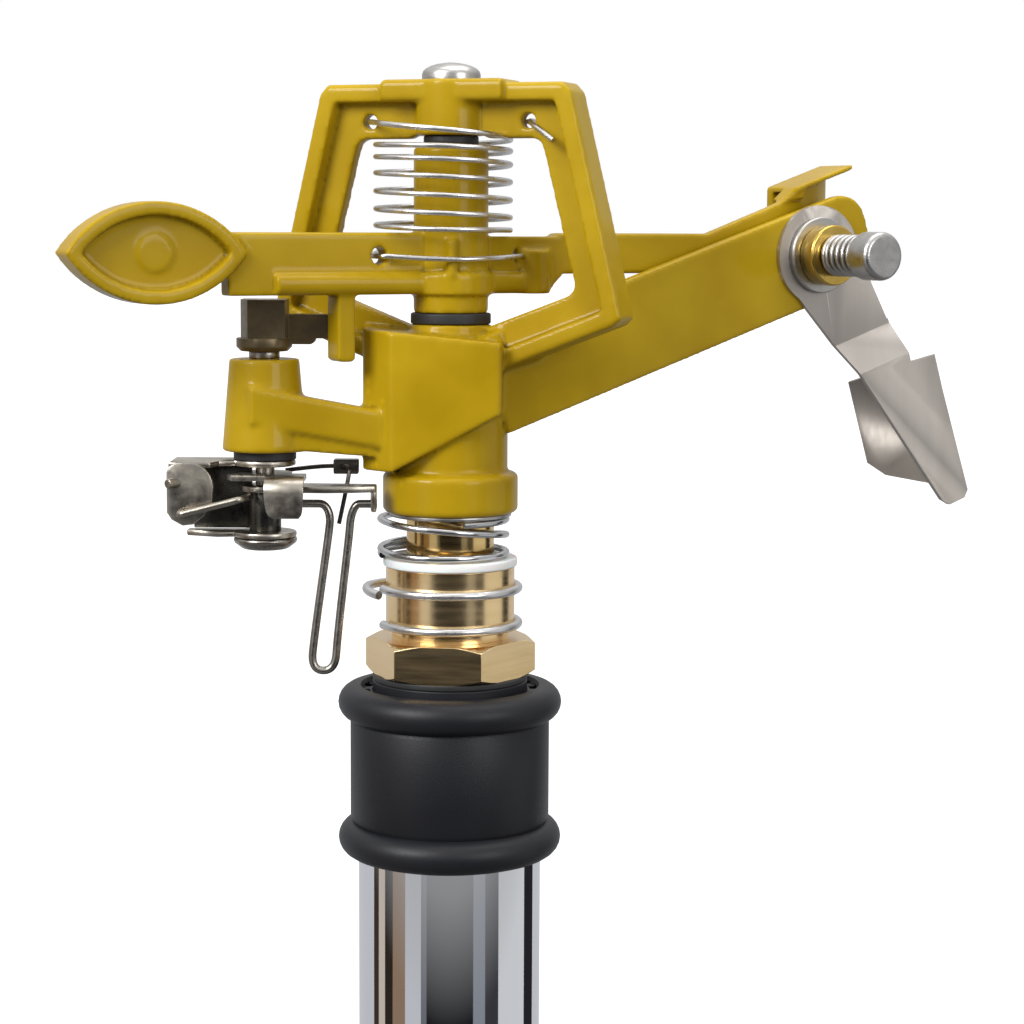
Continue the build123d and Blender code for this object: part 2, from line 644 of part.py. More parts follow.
def make_body_casting():
    flange = rod(FLANGE_RADIUS, flange_low, flange_low + FLANGE_HEIGHT)
    body = chamfer(flange.edges(), 0.6)
    body += rod(BODY_NECK_RADIUS, flange_low, flange_low + BARREL_AXIS_HEIGHT)
    body += rod(BODY_BOSS_RADIUS, body_top - BLOCK_TOP_RIGHT_DROP - 2, body_top)
    body += make_block()
    body += make_barrel()
    body += make_bridge()
    body += make_trip_boss()
    body -= barrel_cuts()
    body -= rod(BEARING_RADIUS + RUN, flange_low, flange_low + BEARING_IN_BODY)
    body -= rod(BEARING_BORE, flange_low, flange_low + BARREL_AXIS_HEIGHT)
    body -= rod(SPINDLE_RADIUS, body_top - SPINDLE_SEAT, body_top)
    body -= rod(SPINDLE_RADIUS, bridge_boss_low, bridge_top)
    body -= rod(TRIP_SHAFT_RADIUS + RUN, trip_boss_low, trip_boss_high, TRIP_X, TRIP_Y)
    return single(body)


nodes["body_casting"] = make_body_casting()


# Nozzle, turned brass, screwed into the barrel's mouth
def make_nozzle():
    thread_start = BARREL_LENGTH - NOZZLE_THREAD_LENGTH
    mouth = BARREL_LENGTH + NOZZLE_HEAD_LENGTH
    head = rod(NOZZLE_HEAD_RADIUS, BARREL_LENGTH, mouth)
    head = chamfer(head.edges().group_by(Axis.Z)[-1], 1.2)
    body = head + rod(NOZZLE_THREAD_RADIUS, thread_start, BARREL_LENGTH)
    body -= Pos(0, 0, (thread_start + mouth) / 2) * Cone(BARREL_BORE, NOZZLE_MOUTH, mouth - thread_start)
    return barrel_frame * Rot(0, 90, 0) * body


nodes["nozzle"] = make_nozzle()

# Spindle, riveted over at the top of the bridge, with a washer at each end of the arm's hub
nodes["spindle"] = rod(SPINDLE_RADIUS, body_top - SPINDLE_SEAT, bridge_top)
cap = rod(CAP_RADIUS, bridge_top, bridge_top + CAP_RIM)
dome_radius = (CAP_RADIUS ** 2 + CAP_DOME ** 2) / (2 * CAP_DOME)
dome = Pos(0, 0, bridge_top + CAP_RIM + CAP_DOME - dome_radius) * Sphere(dome_radius)
dome &= rod(CAP_RADIUS, bridge_top + CAP_RIM, bridge_top + CAP_RIM + CAP_DOME)
nodes["spindle_cap"] = single(cap + dome)
nodes["arm_washer_lower"] = tube(ARM_WASHER_RADIUS, SPINDLE_RADIUS + RUN, body_top, hub_low - SEAT)
nodes["arm_washer_upper"] = tube(ARM_WASHER_RADIUS, SPINDLE_RADIUS + RUN, hub_high + SEAT, bridge_boss_low)


# Impact arm: hub, beam, paddle, trip lug and spoon in one casting
def leaf(tip, root, half_height, centre_height):
    """Leaf-shaped outline of two arcs, in X and Z."""
    middle = (tip + root) / 2
    upper = ThreePointArc((-tip, centre_height), (-middle, centre_height + half_height), (-root, centre_height))
    lower = ThreePointArc((-root, centre_height), (-middle, centre_height - half_height), (-tip, centre_height))
    return make_face(upper + lower)


def make_paddle():
    centre = beam_high - PADDLE_DROP - PADDLE_HALF_HEIGHT / 4
    outline = leaf(PADDLE_TIP, PADDLE_ROOT, PADDLE_HALF_HEIGHT, centre)
    inner = offset(outline, -PADDLE_RIM, kind=Kind.INTERSECTION)
    paddle = extrude(outline, PADDLE_THICKNESS / 2, both=True)
    floor_front = PADDLE_THICKNESS / 2 - PADDLE_RECESS
    paddle -= Pos(0, 0, floor_front) * extrude(inner, PADDLE_RECESS)
    middle = -(PADDLE_TIP + PADDLE_ROOT) / 2
    paddle += Pos(middle, centre, floor_front) * extrude(Circle(PADDLE_MARK_RADIUS), PADDLE_MARK_HEIGHT)
    return Rot(90, 0, 0) * paddle


def make_spoon():
    half = BEAM_THICKNESS / 2
    back = [(spoon_start, half - SPOON_WALL), (SPOON_TURN, half - SPOON_WALL)]
    front = [(spoon_start, -half), (SPOON_TURN, -half)]
    outer = Polyline(*front) + ThreePointArc((SPOON_TURN, -half), (SPOON_TURN + 12, -half + 2.2),
                                             (SPOON_END, -half + SPOON_SWEEP))
    inner = ThreePointArc((SPOON_END, -half + SPOON_SWEEP + SPOON_WALL), (SPOON_TURN + 12, half + 0.6),
                          (SPOON_TURN, half - SPOON_WALL)) + Polyline(*reversed(back))
    ends = Line((SPOON_END, -half + SPOON_SWEEP), (SPOON_END, -half + SPOON_SWEEP + SPOON_WALL))
    start = Line(back[0], front[0])
    plan = make_face(outer + ends + inner + start)
    tip_high = beam_high + RISE_HEIGHT + (SPOON_END - RISE_END) * 0.35
    side = [(spoon_start, beam_high), (KNEE, beam_high), (RISE_END, beam_high + RISE_HEIGHT),
            (SPOON_END, tip_high), (SPOON_END, tip_high - SPOON_DEPTH_END),
            (spoon_start, beam_high - SPOON_DEPTH_START)]
    reach = 2 * SPOON_SWEEP + SPOON_WALL
    wall = Pos(0, 0, side[-1][1]) * extrude(plan, tip_high - side[-1][1])
    wall &= prism_y(side, -reach, reach)
    lip_low = beam_high + RISE_HEIGHT + (LIP_START - RISE_END) * 0.35 + LIP_ABOVE - LIP_THICKNESS
    lip_rise = (SPOON_END - LIP_START) * 0.35
    lip = prism_y([(LIP_START, lip_low), (SPOON_END, lip_low + lip_rise),
                   (SPOON_END, lip_low + lip_rise + LIP_THICKNESS), (LIP_START, lip_low + LIP_THICKNESS)],
                  -LIP_FRONT, SPOON_SWEEP)
    riser = prism_y([(LIP_START - 3, beam_high + RISE_HEIGHT - 0.5), (LIP_START + 2, beam_high + RISE_HEIGHT),
                     (LIP_START + 2, lip_low + LIP_THICKNESS), (LIP_START, lip_low + LIP_THICKNESS)], -half, half)
    floor = prism_y([(SPOON_TURN, tip_high - SPOON_DEPTH_END - 3), (SPOON_END, tip_high - SPOON_DEPTH_END),
                     (SPOON_END, tip_high - SPOON_DEPTH_END + 1.2), (SPOON_TURN, tip_high - SPOON_DEPTH_END - 1)],
                    -half, SPOON_SWEEP)
    back_web = prism_y([(LIP_START, beam_high), (SPOON_END, beam_high), (SPOON_END, lip_low + lip_rise + 0.4),
                        (LIP_START, lip_low + 0.4)], SPOON_SWEEP - SPOON_WALL, SPOON_SWEEP)
    return wall + lip + riser + floor + back_web


def make_impact_arm():
    half = BEAM_THICKNESS / 2
    left = PADDLE_ROOT + 3
    beam = prism_y([(-left, beam_low), (BEAM_STEP, beam_low), (BEAM_STEP + 3, beam_step_low),
                    (spoon_start + 1, beam_step_low), (spoon_start + 1, beam_high), (-left, beam_high)], -half, half)
    beam -= slab(0, BEAM_DIP_END, -half, half, beam_high - BEAM_DIP, beam_high)
    rib = slab(-left + 8, BEAM_RIB_END, -half - BEAM_RIB_PROUD, -half + 0.5, beam_low, beam_low + BEAM_RIB_HEIGHT)
    rib = fillet(rib.edges().filter_by(Axis.X).group_by(Axis.Y)[0], BEAM_RIB_PROUD)
    arm = rod(ARM_HUB_RADIUS, hub_low, hub_high) + beam + rib
    lug = slab(-LUG_FAR, -LUG_NEAR, -LUG_THICKNESS / 2, LUG_THICKNESS / 2, beam_low - LUG_DROP, beam_low + 1)
    arm += fillet(lug.edges().filter_by(Axis.Y).group_by(Axis.Z)[0], LUG_ROUND)
    arm += make_paddle() + make_spoon()
    for x in (-ARM_HOLE_LEFT, ARM_HOLE_RIGHT):
        arm -= Pos(x, 0, beam_high - ARM_HOLE_DROP) * lie_along_y(Cylinder(ARM_HOLE_RADIUS, 4 * BEAM_THICKNESS))
    arm -= rod(SPINDLE_RADIUS + RUN, hub_low, hub_high)
    for low in (hub_low, hub_high - BUSH_LENGTH):
        arm -= rod(BUSH_RADIUS + RUN, low, low + BUSH_LENGTH)
    return arm_frame * single(arm)


nodes["impact_arm"] = make_impact_arm()
nodes["arm_bushes"] = Compound([tube(BUSH_RADIUS, SPINDLE_RADIUS + RUN, low, low + BUSH_LENGTH)
                                for low in (hub_low, hub_high - BUSH_LENGTH)])

# Arm return spring, wound round the hub under the bridge
spring_height = ARM_SPRING_TURNS * ARM_SPRING_PITCH
arm_coil = coil(ARM_SPRING_RADIUS, ARM_SPRING_WIRE, spring_height, ARM_SPRING_TURNS)
arm_coil = Pos(ARM_SPRING_SHIFT, 0, beam_high + ARM_SPRING_ABOVE_BEAM) * Rot(0, 0, ARM_SPRING_START) * arm_coil
nodes["arm_spring"] = arm_coil

# Deflector pivot: rivet, bush and spring on the barrel's side plate. Distances run out from the plate.
pivot_frame = barrel_frame * Pos(PIVOT_ALONG, -PLATE_OFFSET, 0) * Rot(90, 0, 0)
sheet_low = SEAT
washer_low = sheet_low + DEFLECTOR_SHEET
bush_low = washer_low + DEFLECTOR_WASHER_THICKNESS + SEAT
spring_low = bush_low + DEFLECTOR_BUSH_LENGTH
head_low = spring_low + DEFLECTOR_SPRING_LENGTH
rivet = rod(RIVET_RADIUS, -PLATE_THICKNESS, head_low)
rivet += rod(RIVET_HEAD_RADIUS, head_low, head_low + RIVET_HEAD_LENGTH)
nodes["deflector_rivet"] = pivot_frame * chamfer(rivet.edges().group_by(Axis.Z)[-1], 0.6)
nodes["deflector_bush"] = pivot_frame * tube(DEFLECTOR_BUSH_RADIUS, RIVET_RADIUS + RUN, bush_low, spring_low)
pivot_coil = coil(DEFLECTOR_SPRING_RADIUS, DEFLECTOR_SPRING_WIRE,
                  DEFLECTOR_SPRING_LENGTH - 2 * DEFLECTOR_SPRING_WIRE, DEFLECTOR_SPRING_TURNS)
nodes["deflector_spring"] = pivot_frame * Pos(0, 0, spring_low + DEFLECTOR_SPRING_WIRE) * pivot_coil


# Deflector, one folded stainless sheet: round head, neck, joggle, front flap and returned flap
def make_deflector_plate():
    joggle_end = JOGGLE_START + JOGGLE_DROP
    slope = (FLAP_TIP_LEFT + NECK_LEFT) / (FLAP_LENGTH - JOGGLE_START)
    left_at_end = -NECK_LEFT + slope * JOGGLE_DROP
    head = Circle(DEFLECTOR_HEAD_RADIUS)
    neck = make_face(Polyline((-DEFLECTOR_HEAD_RADIUS + 1.6, -DEFLECTOR_HEAD_RADIUS / 2), (-NECK_LEFT, -JOGGLE_START),
                              (NECK_RIGHT, -JOGGLE_START), (DEFLECTOR_HEAD_RADIUS - 0.4, -1.5), (0, 0), close=True))
    upper = Pos(0, 0, sheet_low) * extrude(head + neck, DEFLECTOR_SHEET)
    low, out = sheet_low, JOGGLE_OUT
    sheet = DEFLECTOR_SHEET
    side = [(-JOGGLE_START + sheet, low), (-JOGGLE_START + sheet, low + sheet), (-JOGGLE_START, low + sheet),
            (-joggle_end, low + sheet + out), (-joggle_end, low + out), (-JOGGLE_START, low)]
    band = extrude(make_face(Polyline(*side, close=True)), NECK_RIGHT + 30, both=True)
    band = Rot(0, 0, 90) * Rot(90, 0, 0) * band
    plan = make_face(Polyline((-NECK_LEFT, -JOGGLE_START + sheet), (NECK_RIGHT, -JOGGLE_START + sheet),
                              (FLAP_NOTCH, -joggle_end), (left_at_end, -joggle_end),
                              (-NECK_LEFT, -JOGGLE_START), close=True))
    joggle = band & extrude(plan, 20)
    front = make_face(Polyline((left_at_end, -joggle_end), (FLAP_NOTCH, -joggle_end),
                               (FLAP_NOTCH, -joggle_end - 1.8), (FLAP_FOLD - 0.8, -joggle_end - 2.4),
                               (FLAP_FOLD, -FLAP_LENGTH + 1.2), (FLAP_FOLD - 1.2, -FLAP_LENGTH),
                               (FLAP_TIP_LEFT + 1.6, -FLAP_LENGTH), (FLAP_TIP_LEFT, -FLAP_LENGTH + 1.6), close=True))
    flap = Pos(0, 0, low + out) * extrude(front, sheet)
    back = make_face(Polyline((0, -joggle_end - 2.4), (-FLAP_RETURN, -FLAP_RETURN_TOP - 1),
                              (-FLAP_RETURN, -FLAP_RETURN_LOW), (-FLAP_RETURN + 3, -FLAP_RETURN_LOW - 3),
                              (0, -FLAP_LENGTH + 1.5), close=True))
    returned = Pos(FLAP_FOLD - sheet, 0, low + out + sheet) * Rot(0, -FLAP_RETURN_ANGLE, 0) * Pos(
        0, 0, -sheet) * extrude(back, sheet)
    sheet_metal = upper + joggle + flap + returned
    sheet_metal -= rod(RIVET_RADIUS + RUN, 0, 3 * sheet)
    return barrel_frame * Pos(PIVOT_ALONG, -PLATE_OFFSET, 0) * Rot(90, 0, 0) * single(sheet_metal)


nodes["deflector_plate"] = make_deflector_plate()
nodes["deflector_washer"] = pivot_frame * tube(DEFLECTOR_WASHER_RADIUS, RIVET_RADIUS + RUN, washer_low,
                                               washer_low + DEFLECTOR_WASHER_THICKNESS)


# Trip shaft and the hammer on its top, which meets the arm's lug
def make_hammer():
    low = trip_boss_high + HAMMER_LIFT
    high = low + HAMMER_HEIGHT
    half_depth = HAMMER_DEPTH / 2
    foot = rod(HAMMER_FOOT_RADIUS, low, low + HAMMER_FOOT)
    foot = chamfer(foot.edges().group_by(Axis.Z)[0], HAMMER_FOOT / 3)
    half = HAMMER_HALF_WIDTH
    plan = face_xy([(half, -half_depth), (half, half_depth), (-half, half_depth),
                    (-half, HAMMER_FACET_DEPTH - half_depth), (HAMMER_FACET - half, -half_depth)])
    block = Pos(0, 0, low + HAMMER_FOOT) * extrude(plan, HAMMER_HEIGHT - HAMMER_FOOT)
    front = FINGER_OFFSET - FINGER_WIDTH / 2
    back = FINGER_OFFSET + FINGER_WIDTH / 2
    finger_high = high - FINGER_DROP
    shoulder = slab(0, SHOULDER_REACH, front, back, low + SHOULDER_LIFT, finger_high)
    shoulder = fillet(shoulder.edges().filter_by(Axis.Y).group_by(Axis.Z)[0], SHOULDER_LIFT)
    finger = slab(0, FINGER_REACH, front, back, finger_high - FINGER_HEIGHT, finger_high)
    hammer = foot + block + shoulder + finger
    hammer -= rod(TRIP_SHAFT_RADIUS, low, high)
    return Pos(TRIP_X, TRIP_Y, 0) * hammer


nodes["trip_hammer"] = make_hammer()
shaft = rod(TRIP_SHAFT_RADIUS, bracket_low - SEAT, trip_boss_high + HAMMER_LIFT + HAMMER_HEIGHT, TRIP_X, TRIP_Y)
shaft += rod(HAMMER_SHAFT_RADIUS, trip_boss_high + SEAT, trip_boss_high + HAMMER_LIFT, TRIP_X, TRIP_Y)
nodes["trip_shaft"] = shaft
nodes["trip_washer"] = tube(TRIP_WASHER_RADIUS, TRIP_SHAFT_RADIUS + RUN, bracket_high + SEAT, trip_boss_low,
                            TRIP_X, TRIP_Y)


# Trip bracket, folded sheet under the boss: two leaves, a back web, a cheek and a bent tongue
def toggle_axis():
    return Pos(-TOGGLE_LEFT, -CHEEK_FORWARD, bracket_high - TOGGLE_PIN_DROP) * Rot(0, 0, -38) * Rot(90, 0, 0)


def make_cheek():
    """Upright plate at the left, quarter-round at its top right and with a lobe round the spring's hole."""
    left = -BRACKET_LEFT
    right = left + CHEEK_WIDTH
    low = bracket_high - CHEEK_HEIGHT
    middle = left + CHEEK_WIDTH / 2
    edge = Polyline((right, low), (left + CHEEK_CORNER, low), (left, low + CHEEK_CORNER),
                    (left, bracket_high - CHEEK_CORNER), (left + CHEEK_CORNER, bracket_high),
                    (middle, bracket_high))
    curve = ThreePointArc((middle, bracket_high),
                          (left + CHEEK_WIDTH * 0.86, bracket_high - CHEEK_WIDTH * 0.32),
                          (right, bracket_high - CHEEK_WIDTH))
    outline = make_face(edge + curve + Line((right, bracket_high - CHEEK_WIDTH), (right, low)))
    outline += Pos(-TOGGLE_LEFT, bracket_high - TOGGLE_HOLE_DROP) * Circle(CHEEK_LOBE)
    return Pos(0, -CHEEK_FORWARD, 0) * Rot(90, 0, 0) * extrude(outline, BRACKET_SHEET)


def make_tongue():
    """Tab that bends down from the upper leaf's front edge."""
    front = -CHEEK_FORWARD
    bend_centre = bracket_high - TONGUE_BEND
    bend = Rot(0, 90, 0) * (rod(TONGUE_BEND, TONGUE_LEFT, TONGUE_LEFT + TONGUE_WIDTH)
                            - rod(TONGUE_BEND - BRACKET_SHEET, TONGUE_LEFT, TONGUE_LEFT + TONGUE_WIDTH))
    bend &= slab(TONGUE_LEFT, TONGUE_LEFT + TONGUE_WIDTH, -TONGUE_BEND, 0, 0, TONGUE_BEND)
    tab = slab(TONGUE_LEFT, TONGUE_LEFT + TONGUE_WIDTH, front - TONGUE_BEND, front - TONGUE_BEND + BRACKET_SHEET,
               tube_high - TONGUE_DROP, bend_centre)
    tab = fillet(tab.edges().filter_by(Axis.Y).group_by(Axis.Z)[0], TONGUE_CORNER)
    return tab + Pos(0, front, bend_centre) * bend


def make_leaf(low, high):
    """Leaf round the shaft, cut back between the cheek and the boss."""
    leaf = slab(-BRACKET_LEFT, 0, -CHEEK_FORWARD, BRACKET_RADIUS - 1, low, high)
    leaf += rod(BRACKET_RADIUS, low, high)
    notch_left = CHEEK_WIDTH - BRACKET_LEFT
    notch_back = BRACKET_NOTCH_DEPTH - CHEEK_FORWARD
    return leaf - slab(notch_left, -BRACKET_NOTCH, -CHEEK_FORWARD, notch_back, low, high)


def make_trip_bracket():
    upper = make_leaf(tube_high, bracket_high)
    shelf = slab(-BRACKET_NOTCH, TONGUE_LEFT + TONGUE_WIDTH, -CHEEK_FORWARD, 0, tube_high, bracket_high)
    back = BRACKET_RADIUS - 1
    web = slab(-BRACKET_LEFT, -BRACKET_NOTCH, back - BRACKET_SHEET, back, bracket_low, bracket_high)
    bracket = upper + make_leaf(bracket_low, tube_low) + shelf + web + make_cheek() + make_tongue()
    bracket -= rod(TRIP_SHAFT_RADIUS + RUN, bracket_low, bracket_high)
    bracket -= toggle_axis() * Cylinder(TOGGLE_PIN_RADIUS + RUN, 8)
    hole = lie_along_y(Cylinder(TOGGLE_WIRE + RUN, 4 * BRACKET_SHEET))
    bracket -= Pos(-TOGGLE_LEFT, -CHEEK_FORWARD, bracket_high - TOGGLE_HOLE_DROP) * hole
    return Pos(TRIP_X, TRIP_Y, 0) * single(bracket)


nodes["trip_bracket"] = make_trip_bracket()
nodes["trip_tube"] = tube(TRIP_TUBE_RADIUS, TRIP_SHAFT_RADIUS + RUN, tube_low, lever_low, TRIP_X, TRIP_Y)
nodes["toggle_pin"] = Pos(TRIP_X, TRIP_Y, 0) * toggle_axis() * Cylinder(TOGGLE_PIN_RADIUS, 6)
rivet_high = bracket_low - SEAT
rivet_head = rod(TRIP_RIVET_RADIUS, rivet_high - TRIP_RIVET_HEIGHT, rivet_high, TRIP_X, TRIP_Y)
nodes["trip_rivet"] = chamfer(rivet_head.edges().group_by(Axis.Z)[0], TRIP_RIVET_HEIGHT * 0.6, 1.6)
toggle_height = bracket_high - TOGGLE_HOLE_DROP
toggle_points = [(-TOGGLE_LEFT, -CHEEK_FORWARD + 1.4, toggle_height),
                 (-TOGGLE_LEFT, -CHEEK_FORWARD - 2.2, toggle_height),
                 (-3.4, -CHEEK_FORWARD - 2.2, toggle_height + 2.6),
                 (-2.2, -CHEEK_FORWARD + 3.0, toggle_height + 2.6)]
nodes["toggle_spring"] = Pos(TRIP_X, TRIP_Y, 0) * wire(toggle_points, 0.9, TOGGLE_WIRE)


# Lever plate with two ears that carry the trip wire
def make_lever_plate():
    half = LEVER_WIDTH / 2
    plate = slab(0, EAR_RIGHT - TRIP_X, -half, half, lever_low, lever_high)
    plate += rod(BRACKET_RADIUS - 1, lever_low, lever_high) + rod(LEVER_HUB_RADIUS, lever_high, tube_high)
    for x in (EAR_LEFT - TRIP_X, EAR_RIGHT - TRIP_X):
        plate += slab(x - EAR_SHEET, x, -EAR_WIDTH / 2, EAR_WIDTH / 2, lever_low - EAR_DROP, lever_high)
    plate -= rod(TRIP_SHAFT_RADIUS + RUN, lever_low, tube_high)
    bore = Pos(0, 0, wire_axis) * Rot(0, 90, 0) * rod(WIRE_RADIUS + RUN, -WIRE_LENGTH, WIRE_LENGTH)
    return Pos(TRIP_X, TRIP_Y, 0) * single(plate - bore)


nodes["trip_lever"] = make_lever_plate()


# Trip wire, a hairpin that hangs from the ears and meets the stop rings
def make_trip_wire():
    middle = (EAR_LEFT + EAR_RIGHT) / 2
    half = WIRE_TOP_HALF
    foot = wire_axis - WIRE_LENGTH
    points = [(EAR_LEFT - EAR_SHEET - WIRE_END, wire_axis), (EAR_LEFT + WIRE_SHANK, wire_axis),
              (middle - half, wire_axis - WIRE_KNEE), (middle - half - WIRE_LEAN, foot),
              (middle + half - WIRE_LEAN, foot), (middle + half, wire_axis - WIRE_KNEE),
              (EAR_RIGHT - EAR_SHEET - WIRE_SHANK, wire_axis), (EAR_RIGHT + WIRE_END, wire_axis)]
    return wire([(x, TRIP_Y, z) for x, z in points], WIRE_BEND, WIRE_RADIUS)


nodes["trip_wire"] = make_trip_wire()


# Tripod hub, a black moulding clamped on the riser, with a pair of ears for each leg
def make_tripod_hub():
    low, high = hinge_high - HUB_BELOW, hinge_high + HUB_ABOVE
    body = rod(HUB_RADIUS - HUB_LIP, low, high)
    body += chamfer(rod(HUB_RADIUS, hinge_high - EAR_RADIUS, hinge_high + EAR_RADIUS).edges(), HUB_LIP / 2)
    inner = EYE_WIDTH / 2 + EYE_GAP
    for azimuth in LEG_AZIMUTHS:
        for side in (-1, 1):
            y_low, y_high = sorted((side * inner, side * (inner + EAR_THICKNESS)))
            ear = slab(0, HINGE_RADIUS, y_low, y_high, hinge_high - EAR_RADIUS, hinge_high + EAR_RADIUS)
            end = lie_along_y(Cylinder(EAR_RADIUS, EAR_THICKNESS))
            end = Pos(HINGE_RADIUS, (y_low + y_high) / 2, hinge_high) * end
            body += Rot(0, 0, azimuth) * (ear + end)
        pin = Pos(HINGE_RADIUS, 0, hinge_high) * lie_along_y(Cylinder(HINGE_PIN_RADIUS + RUN, 4 * EYE_WIDTH))
        body -= Rot(0, 0, azimuth) * pin
        screw = Rot(0, 90, 0) * rod(SET_SCREW_RADIUS + RUN, 0, 2 * HUB_RADIUS)
        body -= Rot(0, 0, azimuth + 60) * Pos(0, 0, high - 5) * screw
    return single(body - rod(RISER_RADIUS + RUN, low, high))


nodes["tripod_hub"] = make_tripod_hub()


def make_set_screw(azimuth):
    screw = rod(SET_SCREW_RADIUS, RISER_RADIUS + RUN, HUB_RADIUS - HUB_LIP + SET_SCREW_PROUD)
    return Rot(0, 0, azimuth + 60) * Pos(0, 0, hinge_high + HUB_ABOVE - 5) * Rot(0, 90, 0) * screw


def make_hinge_bolt(azimuth):
    outer = EYE_WIDTH / 2 + EYE_GAP + EAR_THICKNESS
    bolt = rod(HINGE_PIN_RADIUS, -outer, outer)
    head = extrude(RegularPolygon(HINGE_HEAD_RADIUS, 6), HINGE_HEAD_HEIGHT)
    bolt += Pos(0, 0, outer) * head + Pos(0, 0, -outer - HINGE_HEAD_HEIGHT) * head
    return Rot(0, 0, azimuth) * Pos(HINGE_RADIUS, 0, hinge_high) * lie_along_y(bolt)


nodes["hub_screws"] = Compound([make_set_screw(azimuth) for azimuth in LEG_AZIMUTHS])
nodes["hinge_bolts"] = Compound([make_hinge_bolt(azimuth) for azimuth in LEG_AZIMUTHS])


# Inlet elbow under the riser, and the hose connector with its seal
def make_inlet_elbow():
    centre = riser_low - ELBOW_CENTRE_DROP
    low = centre - ELBOW_BELOW_CENTRE
    body = chamfer(rod(ELBOW_RADIUS, low, riser_low).edges().group_by(Axis.Z)[0], 4)
    body += rod(RISER_RADIUS - RISER_WALL - RUN, riser_low, riser_low + ELBOW_SPIGOT)
    body += Pos(0, 0, centre) * Rot(-90, 0, 0) * rod(BRANCH_RADIUS, 0, BRANCH_REACH)
    body -= rod(WATERWAY_RADIUS, centre, riser_low + ELBOW_SPIGOT)
    body -= Pos(0, 0, centre) * Rot(-90, 0, 0) * rod(WATERWAY_RADIUS, 0, BRANCH_REACH)
    seat_start = BRANCH_REACH - CONNECTOR_SPIGOT_LENGTH
    body -= Pos(0, 0, centre) * Rot(-90, 0, 0) * rod(CONNECTOR_SPIGOT_RADIUS + RUN, seat_start, BRANCH_REACH)
    return single(body)


nodes["inlet_elbow"] = make_inlet_elbow()
inlet_frame = Pos(0, 0, riser_low - ELBOW_CENTRE_DROP) * Rot(-90, 0, 0)
seal_high = BRANCH_REACH + CONNECTOR_SEAL
connector_hex_high = seal_high + CONNECTOR_HEX_LENGTH
connector_high = connector_hex_high + CONNECTOR_THREAD_LENGTH
connector_seal = tube(BRANCH_RADIUS - 0.6, CONNECTOR_SPIGOT_RADIUS + RUN, BRANCH_REACH, seal_high)
nodes["connector_seal"] = inlet_frame * connector_seal
connector_hex = RegularPolygon(CONNECTOR_HEX / 2, 6, major_radius=False)
connector = Pos(0, 0, seal_high) * extrude(connector_hex, CONNECTOR_HEX_LENGTH)
connector += rod(CONNECTOR_SPIGOT_RADIUS, BRANCH_REACH - CONNECTOR_SPIGOT_LENGTH, seal_high)
connector += rod(CONNECTOR_THREAD_RADIUS, connector_hex_high, connector_high)
connector -= rod(WATERWAY_RADIUS, BRANCH_REACH - CONNECTOR_SPIGOT_LENGTH, connector_high)
nodes["hose_connector"] = inlet_frame * single(connector)


# Legs: a hinged cap, an upper tube, a twist lock, a sliding lower tube and a rubber foot
def make_leg_cap():
    cap = rod(UPPER_LEG_RADIUS + RUN + CAP_WALL, -CAP_SHOULDER - CAP_LENGTH, -CAP_SHOULDER)
    cap = chamfer(cap.edges().group_by(Axis.Z)[-1], 1.5)
    eye = lie_along_y(Cylinder(EYE_RADIUS, EYE_WIDTH))
    neck = slab(-EYE_RADIUS, EYE_RADIUS, -EYE_WIDTH / 2, EYE_WIDTH / 2, -CAP_SHOULDER - 1, 0)
    cap += eye + neck
    cap -= rod(UPPER_LEG_RADIUS + RUN, -CAP_SHOULDER - CAP_LENGTH, -CAP_SHOULDER - CAP_TOP_WALL)
    return single(cap - lie_along_y(Cylinder(HINGE_PIN_RADIUS + RUN, 2 * EYE_WIDTH)))


upper_leg_top = -CAP_SHOULDER - CAP_TOP_WALL
upper_leg_end = upper_leg_top - UPPER_LEG_LENGTH
lower_leg_end = FOOT_SOLE - leg_run


def make_lock_collar():
    high = upper_leg_end + LOCK_ON_UPPER
    low = upper_leg_end - LOCK_BELOW
    body = chamfer(rod(LOCK_RADIUS, low, high).edges(), 1.2)
    for index in range(LOCK_FLUTES):
        flute = rod(LOCK_FLUTE_RADIUS, low, high, LOCK_RADIUS + LOCK_FLUTE_RADIUS * 0.6, 0)
        body -= Rot(0, 0, 360 / LOCK_FLUTES * (index + 0.5)) * flute
    body -= rod(UPPER_LEG_RADIUS + RUN, upper_leg_end, high)
    return body - rod(LOWER_LEG_RADIUS + 2 * RUN, low, high)


def make_foot(frame):
    boot = rod(FOOT_RADIUS, -leg_run - FOOT_RADIUS, lower_leg_end + FOOT_SLEEVE)
    boot = frame * (boot - rod(LOWER_LEG_RADIUS + RUN, lower_leg_end, lower_leg_end + FOOT_SLEEVE))
    below_ground = Pos(0, 0, -hinge_high / 2) * Box(4 * leg_run, 4 * leg_run, hinge_high)
    return single(boot - below_ground)


for number, azimuth in enumerate(LEG_AZIMUTHS, start=1):
    frame = leg_frame(azimuth)
    nodes[f"leg_cap_{number}"] = frame * make_leg_cap()
    upper_leg = tube(UPPER_LEG_RADIUS, LOWER_LEG_RADIUS + RUN, upper_leg_end, upper_leg_top)
    nodes[f"upper_leg_{number}"] = frame * upper_leg
    nodes[f"lock_collar_{number}"] = frame * make_lock_collar()
    nodes[f"lower_leg_{number}"] = frame * tube(LOWER_LEG_RADIUS, LOWER_LEG_RADIUS - LOWER_LEG_WALL,
                                                lower_leg_end, -LOWER_LEG_START)
    nodes[f"leg_foot_{number}"] = make_foot(frame)

# Written parts
os.makedirs("parts", exist_ok=True)
for name, shape in nodes.items():
    export_step(shape, f"parts/{name}.step")
print(len(nodes), "parts, top at", round(bridge_top + CAP_RIM + CAP_DOME, 1))
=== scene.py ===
import math

import bmesh
import bpy
from mathutils import Matrix, Vector


